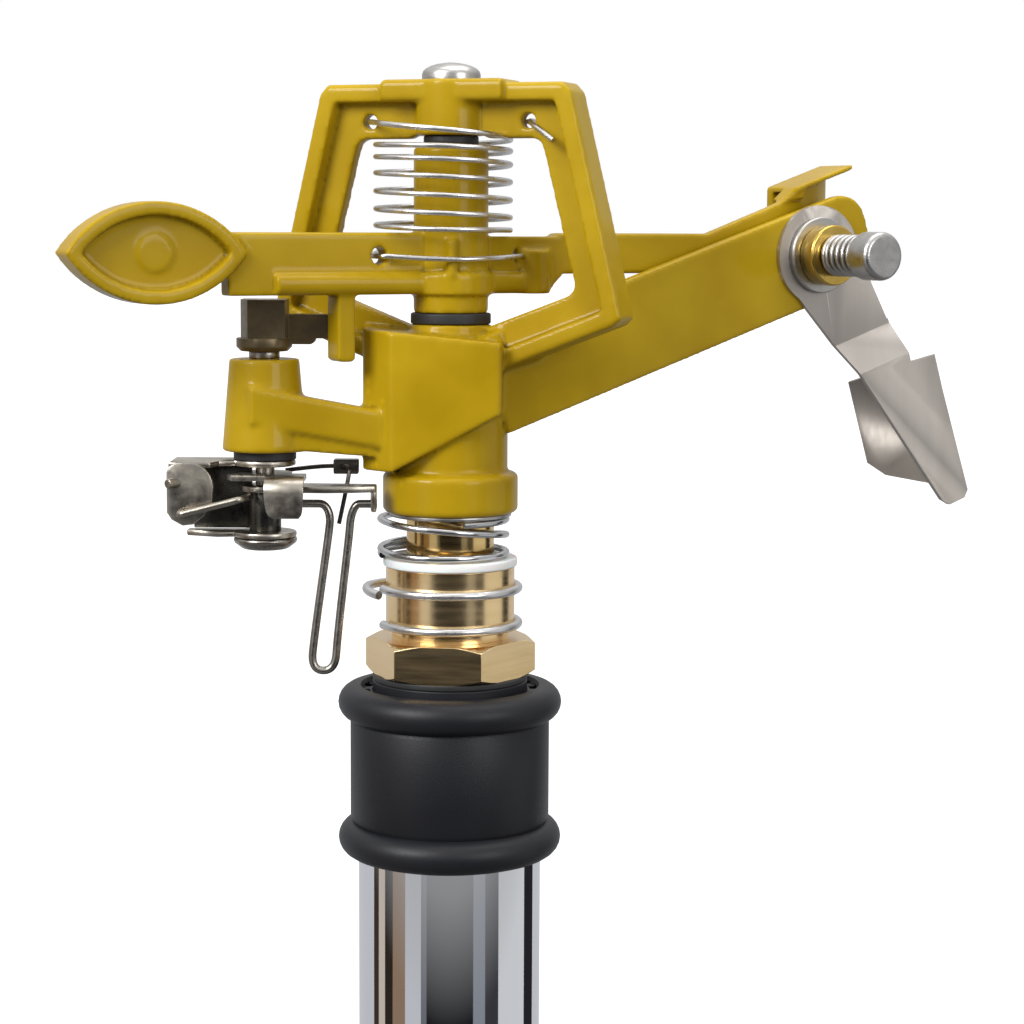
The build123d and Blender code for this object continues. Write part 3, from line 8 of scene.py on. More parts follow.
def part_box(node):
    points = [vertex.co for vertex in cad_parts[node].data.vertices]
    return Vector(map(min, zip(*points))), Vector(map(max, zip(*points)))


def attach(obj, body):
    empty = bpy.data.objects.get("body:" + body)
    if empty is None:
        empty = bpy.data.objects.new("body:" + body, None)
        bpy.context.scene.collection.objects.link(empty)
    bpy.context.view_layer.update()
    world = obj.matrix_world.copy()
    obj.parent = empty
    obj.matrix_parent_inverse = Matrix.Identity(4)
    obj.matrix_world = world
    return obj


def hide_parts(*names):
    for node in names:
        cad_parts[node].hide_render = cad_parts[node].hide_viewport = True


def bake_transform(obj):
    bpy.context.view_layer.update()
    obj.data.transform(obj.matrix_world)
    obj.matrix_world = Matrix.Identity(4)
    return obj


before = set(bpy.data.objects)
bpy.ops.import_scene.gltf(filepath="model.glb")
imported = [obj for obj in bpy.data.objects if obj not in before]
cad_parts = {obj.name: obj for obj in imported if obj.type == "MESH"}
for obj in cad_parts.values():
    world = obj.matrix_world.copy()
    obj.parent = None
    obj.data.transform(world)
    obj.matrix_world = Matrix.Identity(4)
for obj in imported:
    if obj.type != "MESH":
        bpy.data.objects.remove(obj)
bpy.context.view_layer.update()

# Camera.
# It stands in front of the head at arm's length, looking slightly down, so only the riser's
# top and the whole head are in view.
camera = bpy.data.objects.new("camera", bpy.data.cameras.new("camera"))
camera.data.sensor_width = 36.0
camera.data.lens = 86.06
camera.data.clip_start = 0.02
camera.matrix_world = (Matrix.Translation((0.0107, -0.422, 0.475))
                       @ Matrix.Rotation(math.radians(90 - 6.73), 4, "X")
                       @ Matrix.Rotation(math.radians(0.3), 4, "Z"))
bpy.context.collection.objects.link(camera)
bpy.context.scene.camera = camera
bpy.context.scene.view_settings.view_transform = "Standard"

# Studio floor.
# A white floor that runs out into the white room, with a little light of its own so that it has
# no horizon. Polished metal doesn't see it, so the room's darker lower half shows there.
floor_mat = bpy.data.materials.new("studio_floor")
floor_mat.use_nodes = True
floor_shader = floor_mat.node_tree.nodes["Principled BSDF"]
floor_shader.inputs["Base Color"].default_value = (0.92, 0.92, 0.92, 1)
floor_shader.inputs["Roughness"].default_value = 0.9
floor_shader.inputs["Emission Color"].default_value = (1, 1, 1, 1)
floor_shader.inputs["Emission Strength"].default_value = 0.52
bm = bmesh.new()
bmesh.ops.create_grid(bm, x_segments=1, y_segments=1, size=20)
floor_mesh = bpy.data.meshes.new("floor")
bm.to_mesh(floor_mesh)
bm.free()
floor_mesh.materials.append(floor_mat)
floor = bpy.data.objects.new("floor", floor_mesh)
bpy.context.collection.objects.link(floor)
floor.visible_diffuse = False
floor.visible_glossy = False

# Room and lights.
# The room is white to the eye, softer to matt surfaces, and has dark and light uprights that only
# polished metal picks up, as a photographer's flags give it. Large lights stand at the left and the
# right, and one hangs over the head.
world = bpy.data.worlds.new("white_room")
world.use_nodes = True
bpy.context.scene.world = world
room = world.node_tree
background = room.nodes["Background"]
background.inputs["Strength"].default_value = 1.0
direction = room.nodes.new("ShaderNodeTexCoord")
around = room.nodes.new("ShaderNodeTexGradient")
around.gradient_type = "RADIAL"
room.links.new(direction.outputs["Generated"], around.inputs["Vector"])
flags = room.nodes.new("ShaderNodeValToRGB")
flags.color_ramp.interpolation = "CONSTANT"
# Where each upright starts, in degrees to the right of the camera's side, and its colour
first_upright = -90
uprights = (
    (first_upright, (0.62, 0.54, 0.46)), (-87, (0.030, 0.022, 0.016)), (-74, (0.30, 0.20, 0.13)),
    (-56, (0.60, 0.61, 0.64)), (-34, (0.16, 0.17, 0.19)), (-27, (0.010, 0.010, 0.013)),
    (30, (0.26, 0.28, 0.32)), (46, (0.045, 0.045, 0.05)), (64, (0.70, 0.71, 0.72)),
    (108, (0.020, 0.020, 0.023)), (129, (0.60, 0.61, 0.64)), (252, (0.05, 0.035, 0.025)),
    (262, (0.62, 0.54, 0.46)))


def set_stops(shade, stops):
    """Gives a colour ramp its stops, each a position from 0 to 1 and a colour."""
    elements = shade.color_ramp.elements
    elements.remove(elements[1])
    elements[0].position = stops[0][0]
    elements[0].color = (*stops[0][1], 1)
    for position, color in stops[1:]:
        elements.new(position).color = (*color, 1)


set_stops(flags, [((azimuth - first_upright) / 360, color) for azimuth, color in uprights])
room.links.new(around.outputs["Fac"], flags.inputs["Fac"])
split = room.nodes.new("ShaderNodeSeparateXYZ")
room.links.new(direction.outputs["Generated"], split.inputs["Vector"])


def by_height(stops):
    """Colour ramp over the room's height, from straight down at 0 to straight up at 1."""
    height = room.nodes.new("ShaderNodeMapRange")
    height.inputs["From Min"].default_value = -1.0
    room.links.new(split.outputs["Z"], height.inputs["Value"])
    shade = room.nodes.new("ShaderNodeValToRGB")
    set_stops(shade, [(position, (value, value, value)) for position, value in stops])
    room.links.new(height.outputs["Result"], shade.inputs["Fac"])
    return shade


def blended(factor, first, second):
    """Mix of two colours, first at 0."""
    mix = room.nodes.new("ShaderNodeMix")
    mix.data_type = "RGBA"
    room.links.new(factor, mix.inputs[0])
    room.links.new(first, mix.inputs[6])
    room.links.new(second, mix.inputs[7])
    return mix.outputs[2]


soft_room = by_height(((0.0, 0.16), (0.35, 0.26), (0.62, 0.60), (1.0, 0.92)))
polish_room = by_height(((0.0, 0.22), (0.30, 0.30), (0.44, 0.40), (0.66, 0.60), (0.80, 0.95)))
# How much of the uprights is seen at each height
level_zone = by_height(((0.20, 0.0), (0.26, 1.0), (0.46, 1.0), (0.52, 0.35), (0.62, 0.15), (0.70, 0.0)))
ray = room.nodes.new("ShaderNodeLightPath")
polished = blended(level_zone.outputs["Color"], polish_room.outputs["Color"], flags.outputs["Color"])
unseen = blended(ray.outputs["Is Glossy Ray"], soft_room.outputs["Color"], polished)
white = room.nodes.new("ShaderNodeRGB")
white.outputs[0].default_value = (1, 1, 1, 1)
room.links.new(blended(ray.outputs["Is Camera Ray"], unseen, white.outputs[0]), background.inputs["Color"])
head_centre = Vector((0, 0, 0.46))
for name, location, size, watts in (("left_light", (-0.75, -0.75, 1.05), 0.55, 14.0),
                                    ("right_light", (0.75, -0.85, 0.75), 0.55, 4.0),
                                    ("top_light", (0.15, 0.10, 1.35), 0.80, 5.0)):
    light = bpy.data.objects.new(name, bpy.data.lights.new(name, "AREA"))
    light.data.size = size
    light.data.energy = watts
    light.location = location
    light.rotation_euler = (head_centre - Vector(location)).to_track_quat("-Z", "Y").to_euler()
    bpy.context.collection.objects.link(light)


# Riser tube.
# Drawn steel tube with mirror-bright plating, cut square at both ends. It's turned here as a smooth
# tube, since polished metal shows every facet.
def worked_surface():
    """Group with two masks of the same grain: broad clouds and a fine grain."""
    group = bpy.data.node_groups.new("worked_surface", "ShaderNodeTree")
    group.interface.new_socket("Place", in_out="INPUT", socket_type="NodeSocketVector")
    group.interface.new_socket("Cloud Size", in_out="INPUT", socket_type="NodeSocketFloat")
    group.interface.new_socket("Grain Size", in_out="INPUT", socket_type="NodeSocketFloat")
    group.interface.new_socket("Cloud", in_out="OUTPUT", socket_type="NodeSocketFloat")
    group.interface.new_socket("Grain", in_out="OUTPUT", socket_type="NodeSocketFloat")
    given = group.nodes.new("NodeGroupInput")
    result = group.nodes.new("NodeGroupOutput")
    for size, out, detail, low, high in (("Cloud Size", "Cloud", 3.0, 0.35, 0.65),
                                         ("Grain Size", "Grain", 2.0, 0.2, 0.8)):
        noise = group.nodes.new("ShaderNodeTexNoise")
        noise.inputs["Detail"].default_value = detail
        spread = group.nodes.new("ShaderNodeMapRange")
        spread.inputs["From Min"].default_value = low
        spread.inputs["From Max"].default_value = high
        group.links.new(given.outputs["Place"], noise.inputs["Vector"])
        group.links.new(given.outputs[size], noise.inputs["Scale"])
        group.links.new(noise.outputs["Fac"], spread.inputs["Value"])
        group.links.new(spread.outputs["Result"], result.inputs[out])
    return group


surface_group = worked_surface()


def finish(name, color, second, roughness, metallic=0.0, cloud=60.0, grain=1500.0, bump=0.1, spread=0.06,
           stretch=(1, 1, 1), turn=(0, 0, 0), **sockets):
    """Material of two close colours in clouds, with a fine grain in its gloss and relief."""
    mat = bpy.data.materials.new(name)
    mat.use_nodes = True
    tree = mat.node_tree
    shader = tree.nodes["Principled BSDF"]
    shader.inputs["Metallic"].default_value = metallic
    for key, value in sockets.items():
        shader.inputs[key.replace("_", " ")].default_value = value
    place = tree.nodes.new("ShaderNodeTexCoord")
    mapping = tree.nodes.new("ShaderNodeMapping")
    mapping.inputs["Rotation"].default_value = [math.radians(a) for a in turn]
    mapping.inputs["Scale"].default_value = stretch
    tree.links.new(place.outputs["Object"], mapping.inputs["Vector"])
    surface = tree.nodes.new("ShaderNodeGroup")
    surface.node_tree = surface_group
    surface.inputs["Cloud Size"].default_value = cloud
    surface.inputs["Grain Size"].default_value = grain
    tree.links.new(mapping.outputs["Vector"], surface.inputs["Place"])
    mix = tree.nodes.new("ShaderNodeMix")
    mix.data_type = "RGBA"
    mix.inputs[6].default_value = (*color, 1)
    mix.inputs[7].default_value = (*second, 1)
    tree.links.new(surface.outputs["Cloud"], mix.inputs[0])
    tree.links.new(mix.outputs[2], shader.inputs["Base Color"])
    gloss = tree.nodes.new("ShaderNodeMapRange")
    gloss.inputs["To Min"].default_value = max(roughness - spread, 0.01)
    gloss.inputs["To Max"].default_value = roughness + spread
    tree.links.new(surface.outputs["Grain"], gloss.inputs["Value"])
    tree.links.new(gloss.outputs["Result"], shader.inputs["Roughness"])
    relief = tree.nodes.new("ShaderNodeBump")
    relief.inputs["Strength"].default_value = bump
    relief.inputs["Distance"].default_value = 0.0001
    tree.links.new(surface.outputs["Grain"], relief.inputs["Height"])
    tree.links.new(relief.outputs["Normal"], shader.inputs["Normal"])
    return mat


def finished(name, bm, body, mat, replaces=(), sharp=35):
    """Closes a mesh as a piece of the object, smooth between its sharp edges, riding on a body if given."""
    mesh = bpy.data.meshes.new(name)
    bm.to_mesh(mesh)
    bm.free()
    mesh.shade_smooth()
    mesh.set_sharp_from_angle(angle=math.radians(sharp))
    piece = bpy.data.objects.new(name, mesh)
    bpy.context.collection.objects.link(piece)
    mesh.materials.append(mat)
    if body:
        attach(piece, body)
    if replaces:
        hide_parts(*replaces)
    return piece


def turned(profile, steps=96, place=None, ease=0.0):
    """Ring or disc from a closed outline of (radius, height) in millimetres, its edges eased."""
    bm = bmesh.new()
    rim = [bm.verts.new((radius / 1000, 0, height / 1000)) for radius, height in profile]
    edges = [bm.edges.new((a, b)) for a, b in zip(rim, rim[1:] + rim[:1])]
    bmesh.ops.spin(bm, geom=rim + edges, cent=(0, 0, 0), axis=(0, 0, 1), angle=math.tau, steps=steps,
                   use_merge=True)
    bmesh.ops.remove_doubles(bm, verts=bm.verts[:], dist=2e-6)
    bmesh.ops.recalc_face_normals(bm, faces=bm.faces[:])
    if ease:
        corners = [e for e in bm.edges if len(e.link_faces) == 2 and e.calc_face_angle(0) > 0.5]
        bmesh.ops.bevel(bm, geom=corners, offset=ease / 1000, offset_type="OFFSET", affect="EDGES",
                        segments=2, profile=0.5, material=-1)
    if place:
        bmesh.ops.transform(bm, matrix=place, verts=bm.verts[:])
    return bm


def band(node):
    """Outer radius, lower and upper height of an upright round node, in millimetres."""
    low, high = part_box(node)
    return (high[0] - low[0]) * 500, low[2] * 1000, high[2] * 1000


chrome_mat = finish("riser_chrome", (0.80, 0.81, 0.83), (0.74, 0.75, 0.78), 0.035, 1.0, cloud=40, grain=90,
                    bump=0.05, spread=0.02, stretch=(1, 1, 0.25))
radius, low, high = band("riser_tube")
tube_wall = 1.2
tube_bore = radius - tube_wall
bm = turned([(radius, low), (radius, high), (tube_bore, high), (tube_bore, low)], 128, ease=0.15)
finished("riser_tube_plated", bm, "stand", chrome_mat, ["riser_tube"])

# Collar on the riser's top.
# A black moulding pressed over the tube, with a rounded rib at its head and foot, a stepped top face
# and small moulding pockets in it. The plastic is satin, with a very fine spark-eroded grain.
moulding_mat = finish("black_moulding", (0.0078, 0.0082, 0.0112), (0.0110, 0.0115, 0.0145), 0.46, cloud=45,
                      grain=2600, bump=0.10, spread=0.05, Specular_IOR_Level=0.30)
radius, low, high = band("riser_collar")
rib, barrel_radius, bore, step_radius, socket_radius = 3.0, radius - 2.1, 13.6, 15.6, 16.05
barrel_low, barrel_high = low + 2 * rib + 0.7, high - 2 * rib - 0.7
rim_level, socket_level = high - 1.0, high - 5.0


def rounded_rib(centre):
    """Points of a rib's half round, upwards."""
    turns = [math.radians(a) for a in range(-80, 81, 16)]
    return [(radius - rib + rib * math.cos(a), centre + rib * math.sin(a)) for a in turns]


outline = ([(socket_radius, low + 0.3), (socket_radius + 0.5, low)] + rounded_rib(low + rib)
           + [(barrel_radius, barrel_low), (barrel_radius, barrel_high)] + rounded_rib(high - rib)
           + [(step_radius, high), (step_radius - 0.5, rim_level), (bore, rim_level),
              (bore, socket_level + 0.1), (socket_radius, socket_level)])
collar = finished("riser_collar_ribbed", turned(outline, 128), "stand", moulding_mat,
                  ["riser_collar"])
pocket_count, pocket_size, pocket_radius, first_pocket = 18, (1.3, 2.6, 2.0), 14.6, 7
bm = bmesh.new()
for number in range(pocket_count):
    pocket = bmesh.ops.create_cube(bm, size=0.001)["verts"]
    bmesh.ops.scale(bm, vec=pocket_size, verts=pocket)
    bmesh.ops.translate(bm, vec=(pocket_radius / 1000, 0, rim_level / 1000), verts=pocket)
    turn = Matrix.Rotation(math.radians(360 / pocket_count * number + first_pocket), 3, "Z")
    bmesh.ops.rotate(bm, cent=(0, 0, 0), matrix=turn, verts=pocket)
pocket_mesh = bpy.data.meshes.new("collar_pockets")
bm.to_mesh(pocket_mesh)
bm.free()
pocket_tool = bpy.data.objects.new("collar_pockets", pocket_mesh)
bpy.context.collection.objects.link(pocket_tool)
cut = collar.modifiers.new("pockets", "BOOLEAN")
cut.object = pocket_tool
cut_mesh = bpy.data.meshes.new_from_object(collar.evaluated_get(bpy.context.evaluated_depsgraph_get()))
collar.modifiers.clear()
collar.data = cut_mesh
bpy.data.objects.remove(pocket_tool)


# Insert and gasket in the collar.
# A threaded black insert closes the tube's mouth, and a rubber ring seals the brass on it. Each
# keeps its node's form, with its edges broken.
def eased(node, width=0.15, folds=0.0, angle=30):
    """Merged copy of a node with flat faces joined, its corners eased and its sheet folds rounded."""
    bm = bmesh.new()
    bm.from_mesh(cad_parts[node].data)
    bmesh.ops.remove_doubles(bm, verts=bm.verts[:], dist=2e-6)
    bmesh.ops.dissolve_limit(bm, angle_limit=math.radians(0.6), verts=bm.verts[:], edges=bm.edges[:])
    if folds:
        # A sheet's folds are its long edges that turn a little
        bends = [e for e in bm.edges if len(e.link_faces) == 2
                 and math.radians(8) < e.calc_face_angle(0) < math.radians(70)
                 and e.calc_length() > 0.004]
        bmesh.ops.bevel(bm, geom=bends, offset=folds / 1000, offset_type="OFFSET", affect="EDGES", segments=5,
                        profile=0.5, material=-1, clamp_overlap=True)
    corners = [e for e in bm.edges if len(e.link_faces) == 2 and e.calc_face_angle(0) > math.radians(angle)]
    bmesh.ops.bevel(bm, geom=corners, offset=width / 1000, offset_type="OFFSET", affect="EDGES",
                    segments=2, profile=0.5, material=-1, clamp_overlap=True)
    return bm


def dressed(node, body, mat, width=0.15, folds=0.0, angle=30):
    """Eased copy of a node that stands for it, with its corners lit evenly."""
    piece = finished(node + "_eased", eased(node, width, folds, angle), body, mat, [node], sharp=40)
    piece.modifiers.new("even_light", "WEIGHTED_NORMAL").keep_sharp = True
    return piece


rubber_mat = finish("seal_rubber", (0.012, 0.012, 0.013), (0.020, 0.020, 0.021), 0.55, cloud=120, grain=1800,
                    bump=0.1)
dressed("collar_insert", "stand", moulding_mat, 0.3)
dressed("swivel_gasket", "stand", rubber_mat, 0.2)

# Brass swivel and its washers.
# The nipple is turned from brass hexagon bar, with fine tool rings round it, and the bearing tube turns
# in it. Washers of white nylon, rubber and stainless sheet let the head turn on them.
brass_mat = finish("turned_brass", (0.92, 0.69, 0.38), (0.84, 0.60, 0.29), 0.22, 1.0, cloud=60, grain=300,
                   bump=0.07, spread=0.05, stretch=(0.3, 0.3, 4.0))
dressed("swivel_nipple", "stand", brass_mat, 0.25)
bearing_mat = finish("bearing_brass", (0.78, 0.56, 0.24), (0.60, 0.40, 0.15), 0.15, 1.0, cloud=90, grain=300,
                     bump=0.07, spread=0.04, stretch=(0.3, 0.3, 5.0))
dressed("bearing_tube", "head", bearing_mat, 0.15)
nylon_mat = finish("nylon", (0.86, 0.87, 0.86), (0.78, 0.79, 0.77), 0.34, cloud=80, grain=900, bump=0.08,
                   Subsurface_Weight=0.35, Subsurface_Scale=0.002)
dressed("nylon_washer", "head", nylon_mat, 0.35)
dressed("thrust_washer", "head", rubber_mat, 0.2)
stainless_mat = finish("stainless", (0.50, 0.485, 0.465), (0.42, 0.405, 0.385), 0.33, 1.0, cloud=70,
                       grain=500, bump=0.16, spread=0.08, stretch=(1, 1, 4))
dressed("spring_washer", "head", stainless_mat, 0.1)


# Bearing spring and stop rings.
# Drawn stainless wire, bright and smooth, with cut ends. The spring's end turns lie flat, and each
# ring grips the brass sleeve with a tail that bows out.
def drawn_wire(points, radius, order=4):
    """Round wire along smoothed points, in millimetres, closed at its ends."""
    curve = bpy.data.curves.new("wire", "CURVE")
    curve.dimensions = "3D"
    curve.bevel_depth = radius / 1000
    curve.bevel_resolution = 4
    curve.use_fill_caps = True
    spline = curve.splines.new("NURBS")
    spline.points.add(len(points) - 1)
    for point, (x, y, z) in zip(spline.points, points):
        point.co = (x / 1000, y / 1000, z / 1000, 1)
    spline.order_u = order
    spline.use_endpoint_u = True
    spline.resolution_u = 4
    holder = bpy.data.objects.new("wire", curve)
    bpy.context.collection.objects.link(holder)
    mesh = bpy.data.meshes.new_from_object(holder.evaluated_get(bpy.context.evaluated_depsgraph_get()))
    bpy.data.objects.remove(holder)
    bm = bmesh.new()
    bm.from_mesh(mesh)
    bpy.data.meshes.remove(mesh)
    bmesh.ops.remove_doubles(bm, verts=bm.verts[:], dist=1e-6)
    bmesh.ops.recalc_face_normals(bm, faces=bm.faces[:])
    return bm


def arc_points(radius, levels, step=15.0, x=0.0, y=0.0):
    """Points round an upright axis, with levels of (angle, height) joined evenly."""
    points = []
    for (start, low), (end, high) in zip(levels, levels[1:]):
        count = max(int(abs(end - start) / step), 1)
        for index in range(count):
            share = index / count
            angle = math.radians(start + (end - start) * share)
            level = low + (high - low) * share
            points.append((x + radius * math.cos(angle), y + radius * math.sin(angle), level))
    angle = math.radians(levels[-1][0])
    points.append((x + radius * math.cos(angle), y + radius * math.sin(angle), levels[-1][1]))
    return points


wire_mat = finish("spring_wire", (0.60, 0.60, 0.61), (0.50, 0.50, 0.50), 0.16, 1.0, cloud=150, grain=1500,
                  bump=0.08, spread=0.05)
nylon_top, washer_foot = band("nylon_washer")[2], band("spring_washer")[1]
wire_radius, wire_rest, coil_radius, coil_x = 0.6, 0.62, 11.05, -1.2
foot, head = nylon_top + wire_rest, washer_foot - wire_rest
levels = [(560, foot), (250, foot + 0.25), (90, foot + 1.5), (-90, head - 1.0), (-160, head), (-430, head)]
bm = drawn_wire(arc_points(coil_radius, levels, x=coil_x), wire_radius)
finished("bearing_spring_wound", bm, "head", wire_mat, ["bearing_spring"])
ring_mat = finish("ring_wire", (0.70, 0.69, 0.685), (0.58, 0.575, 0.57), 0.31, 1.0, cloud=200, grain=1200,
                  bump=0.15, spread=0.08)
ring_radius, ring_wire, ring_start = 12.0, 0.78, 197
tail_points, tail_sweep, tail_bow, tail_drop = 9, 58, 2.6, 1.3
for node, sweep in (("stop_ring_upper", 313), ("stop_ring_lower", 240)):
    low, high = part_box(node)
    level = (low[2] + high[2]) * 500
    ring = arc_points(ring_radius, [(ring_start, level), (ring_start + sweep, level)])
    for index in range(1, tail_points + 1):
        share = index / tail_points
        angle = math.radians(ring_start + sweep + tail_sweep * share)
        reach = ring_radius + tail_bow * math.sin(math.radians(140 * share))
        tail_level = level - tail_drop * max(share - 0.5, 0)
        ring.append((reach * math.cos(angle), reach * math.sin(angle), tail_level))
    finished(node + "_wire", drawn_wire(ring, ring_wire), node, ring_mat, [node])


# Painted castings.
# The body and the arm are zinc castings in glossy olive-gold paint. Their edges are soft, and the
# paint has a fine orange peel.
def cast(node, voxel, rounds, kept, studs=()):
    """Copy of a node with round studs of (x, y, low, high, radius) in millimetres, remeshed and relaxed so
    that its edges are soft, with a share of its faces kept."""
    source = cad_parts[node]
    piece = bpy.data.objects.new(node + "_soft", source.data.copy())
    bpy.context.collection.objects.link(piece)
    bm = bmesh.new()
    bm.from_mesh(piece.data)
    bmesh.ops.remove_doubles(bm, verts=bm.verts[:], dist=1e-6)
    for x, y, foot, head, radius in studs:
        middle = Matrix.Translation((x / 1000, y / 1000, (foot + head) / 2000))
        bmesh.ops.create_cone(bm, cap_ends=True, segments=24, radius1=radius / 1000, radius2=radius / 1000,
                              depth=(head - foot) / 1000, matrix=middle)
    bm.to_mesh(piece.data)
    bm.free()
    remesh = piece.modifiers.new("remesh", "REMESH")
    remesh.mode = "VOXEL"
    remesh.voxel_size = voxel / 1000
    remesh.use_smooth_shade = True
    relax = piece.modifiers.new("relax", "SMOOTH")
    relax.factor = 0.5
    relax.iterations = rounds
    thin = piece.modifiers.new("thin", "DECIMATE")
    thin.ratio = kept
    baked = bpy.data.meshes.new_from_object(piece.evaluated_get(bpy.context.evaluated_depsgraph_get()))
    bpy.data.objects.remove(piece)
    bm = bmesh.new()
    bm.from_mesh(baked)
    bpy.data.meshes.remove(baked)
    return bm


paint_mat = finish("olive_gold_paint", (0.610, 0.400, 0.0100), (0.490, 0.305, 0.0040), 0.34, cloud=55,
                   grain=620, bump=0.16, spread=0.03, Specular_IOR_Level=0.08, Coat_Weight=0.22,
                   Coat_Roughness=0.08)
# Painted shade and painted highlight: the paint's colour is made much darker in corners, even on the flat and
# a little lighter on edges
paint_tree = paint_mat.node_tree
paint_shader = paint_tree.nodes["Principled BSDF"]
paint_color = paint_shader.inputs["Base Color"].links[0].from_socket
shape = paint_tree.nodes.new("ShaderNodeNewGeometry")
depth = paint_tree.nodes.new("ShaderNodeValToRGB")
set_stops(depth, [(place, (tone, tone, tone))
                  for place, tone in ((0.44, 0.20), (0.485, 0.70), (0.53, 0.70), (0.60, 0.80))])
paint_tree.links.new(shape.outputs["Pointiness"], depth.inputs["Fac"])
# The paint's colour times the corner ramp, so corners carry painted shade and edges a painted highlight
painted_shade_and_highlight = paint_tree.nodes.new("ShaderNodeVectorMath")
painted_shade_and_highlight.operation = "MULTIPLY"
paint_tree.links.new(paint_color, painted_shade_and_highlight.inputs[0])
paint_tree.links.new(depth.outputs["Color"], painted_shade_and_highlight.inputs[1])
paint_tree.links.new(painted_shade_and_highlight.outputs[0], paint_shader.inputs["Base Color"])
finished("body_casting_painted", cast("body_casting", 0.40, 6, 0.85), "head", paint_mat,
         ["body_casting"], sharp=180)
arm_along, arm_front = Vector((0.883, 0.469, 0)), Vector((0.469, -0.883, 0))
beam_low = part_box("arm_washer_lower")[1][2] * 1000 + 3.2
boss, seam = 15.4 * arm_along + 0.6 * arm_front, 6.7 * Vector((0.05, -1.0, 0))
# A round boss on the beam, a rib round the hub's foot and a seam up the hub
studs = [(boss.x, boss.y, beam_low, beam_low + 7.6, 3.3), (0, 0, beam_low, beam_low + 3.6, 7.3),
         (seam.x, seam.y, beam_low + 3, beam_low + 9.4, 0.9)]
bm = cast("impact_arm", 0.36, 5, 0.85, studs)
finished("impact_arm_painted", bm, "arm", paint_mat, ["impact_arm"], sharp=180)

# Nozzle, spindle, cap and washers.
# The nozzle is turned brass screwed into the barrel. The arm turns on a stainless spindle between two
# black washers, and the spindle's end is riveted over as a low dome.
dressed("nozzle", "head", brass_mat, 0.2)
dressed("arm_bushes", "arm", brass_mat, 0.1)
dressed("spindle", "head", stainless_mat, 0.1)
radius, low, high = band("spindle_cap")
rim_height = 0.9
dome = [(radius, low), (radius, low + rim_height)]
for angle in range(15, 90, 15):
    rise = (high - low - rim_height) * math.sin(math.radians(angle))
    dome.append((radius * math.cos(math.radians(angle)), low + rim_height + rise))
dome += [(0.9, high - 0.02), (0.0, high), (0.0, low)]
finished("spindle_cap_riveted", turned(dome, 64), "head", stainless_mat, ["spindle_cap"])
dressed("arm_washer_lower", "head", rubber_mat, 0.3)
radius, low, high = band("arm_washer_upper")
bore, rim = 2.6, radius - 2.2
bm = turned([(bore, low), (rim, low), (rim, high), (bore, high)], 64, ease=0.3)
finished("arm_washer_upper_turned", bm, "head", rubber_mat, ["arm_washer_upper"])

# Arm return spring.
# Drawn wire in six open turns round the arm's hub. Its upper end passes through both holes of the
# bridge, and its lower end passes in front of the hub from one hole of the arm to the other.
spring_x, spring_radius, spring_wire, hole_reach = -1.35, 11.6, 0.46, 14.4
bridge_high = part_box("body_casting")[1][2] * 1000
hole_level = bridge_high - 7.0
beam_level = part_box("arm_washer_lower")[1][2] * 1000 + 13.6
across, towards = Vector((0.940, -0.342, 0)), Vector((-0.342, -0.940, 0))
left_hole = -hole_reach * across + Vector((0, 0, hole_level))
right_hole = hole_reach * across + Vector((0, 0, hole_level))
upper_end = [
    right_hole + 5.6 * across + 4.6 * towards + Vector((0, 0, -3.4)),
    right_hole + 3.4 * across + 3.6 * towards + Vector((0, 0, -1.9)),
    right_hole + 1.6 * towards, right_hole - 2.4 * towards, right_hole - 3.4 * towards - 1.5 * across,
    left_hole - 3.4 * towards + 1.5 * across, left_hole - 2.4 * towards, left_hole + 1.4 * towards,
    left_hole + 2.6 * towards + 0.6 * across]
# The turns' angles, with their drop under the bridge's holes and then their rise over the beam
drops = ((200, 0.4), (270, 1.7), (360, 3.0), (630, 4.4), (990, 6.5), (1350, 9.4), (1710, 12.5), (2070, 15.5))
rises = ((2430, 0.62), (2565, 0.5), (2620, -1.6), (2700, -3.6))
turns = [(angle, hole_level - drop) for angle, drop in drops]
turns += [(angle, beam_level + rise) for angle, rise in rises]
eye_level = Vector((0, 0, beam_level - 3.9))
left_eye, right_eye = -14.3 * arm_along + eye_level, 12.6 * arm_along + eye_level
lower_end = [
    left_eye - 3.0 * arm_front, left_eye - 1.6 * arm_front, left_eye + 2.6 * arm_front,
    left_eye + 3.2 * arm_front + 1.2 * arm_along, Vector((-4.0, -8.6, beam_level - 4.3)),
    Vector((3.0, -8.0, beam_level - 4.4)), Vector((8.4, -4.4, beam_level - 4.2)),
    right_eye + 3.2 * arm_front - 0.8 * arm_along, right_eye + 2.4 * arm_front, right_eye - 1.0 * arm_front]
path = ([tuple(v) for v in upper_end] + arc_points(spring_radius, turns, x=spring_x)
        + [tuple(v) for v in lower_end])
arm_spring = finished("arm_spring_wound", drawn_wire(path, spring_wire, order=3), None,
                      ring_mat, ["arm_spring"])
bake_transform(arm_spring)

# Deflector and its pivot.
# One sheet of brushed stainless with rolled folds, held on the barrel's side plate by a grooved rivet
# with a brass bush and a spring that presses on it.
sheet_mat = finish("brushed_stainless", (0.46, 0.425, 0.39), (0.42, 0.385, 0.35), 0.47, 1.0, cloud=30,
                   grain=260, bump=0.05, spread=0.05, stretch=(6.0, 6.0, 0.2), turn=(0, 18, 0))
dressed("deflector_plate", "deflector", sheet_mat, 0.18, folds=1.6)
dressed("deflector_washer", "deflector", stainless_mat, 0.3)
yellow_brass_mat = finish("yellow_brass", (0.70, 0.49, 0.13), (0.60, 0.40, 0.09), 0.20, 1.0, cloud=150,
                          grain=900, bump=0.12)
dressed("deflector_bush", "head", yellow_brass_mat, 0.4)
rivet_mat = finish("machined_rivet", (0.50, 0.485, 0.47), (0.38, 0.37, 0.36), 0.34, 1.0, cloud=260,
                   grain=1100, bump=0.3, spread=0.10)
dressed("deflector_rivet", "head", rivet_mat, 0.35)
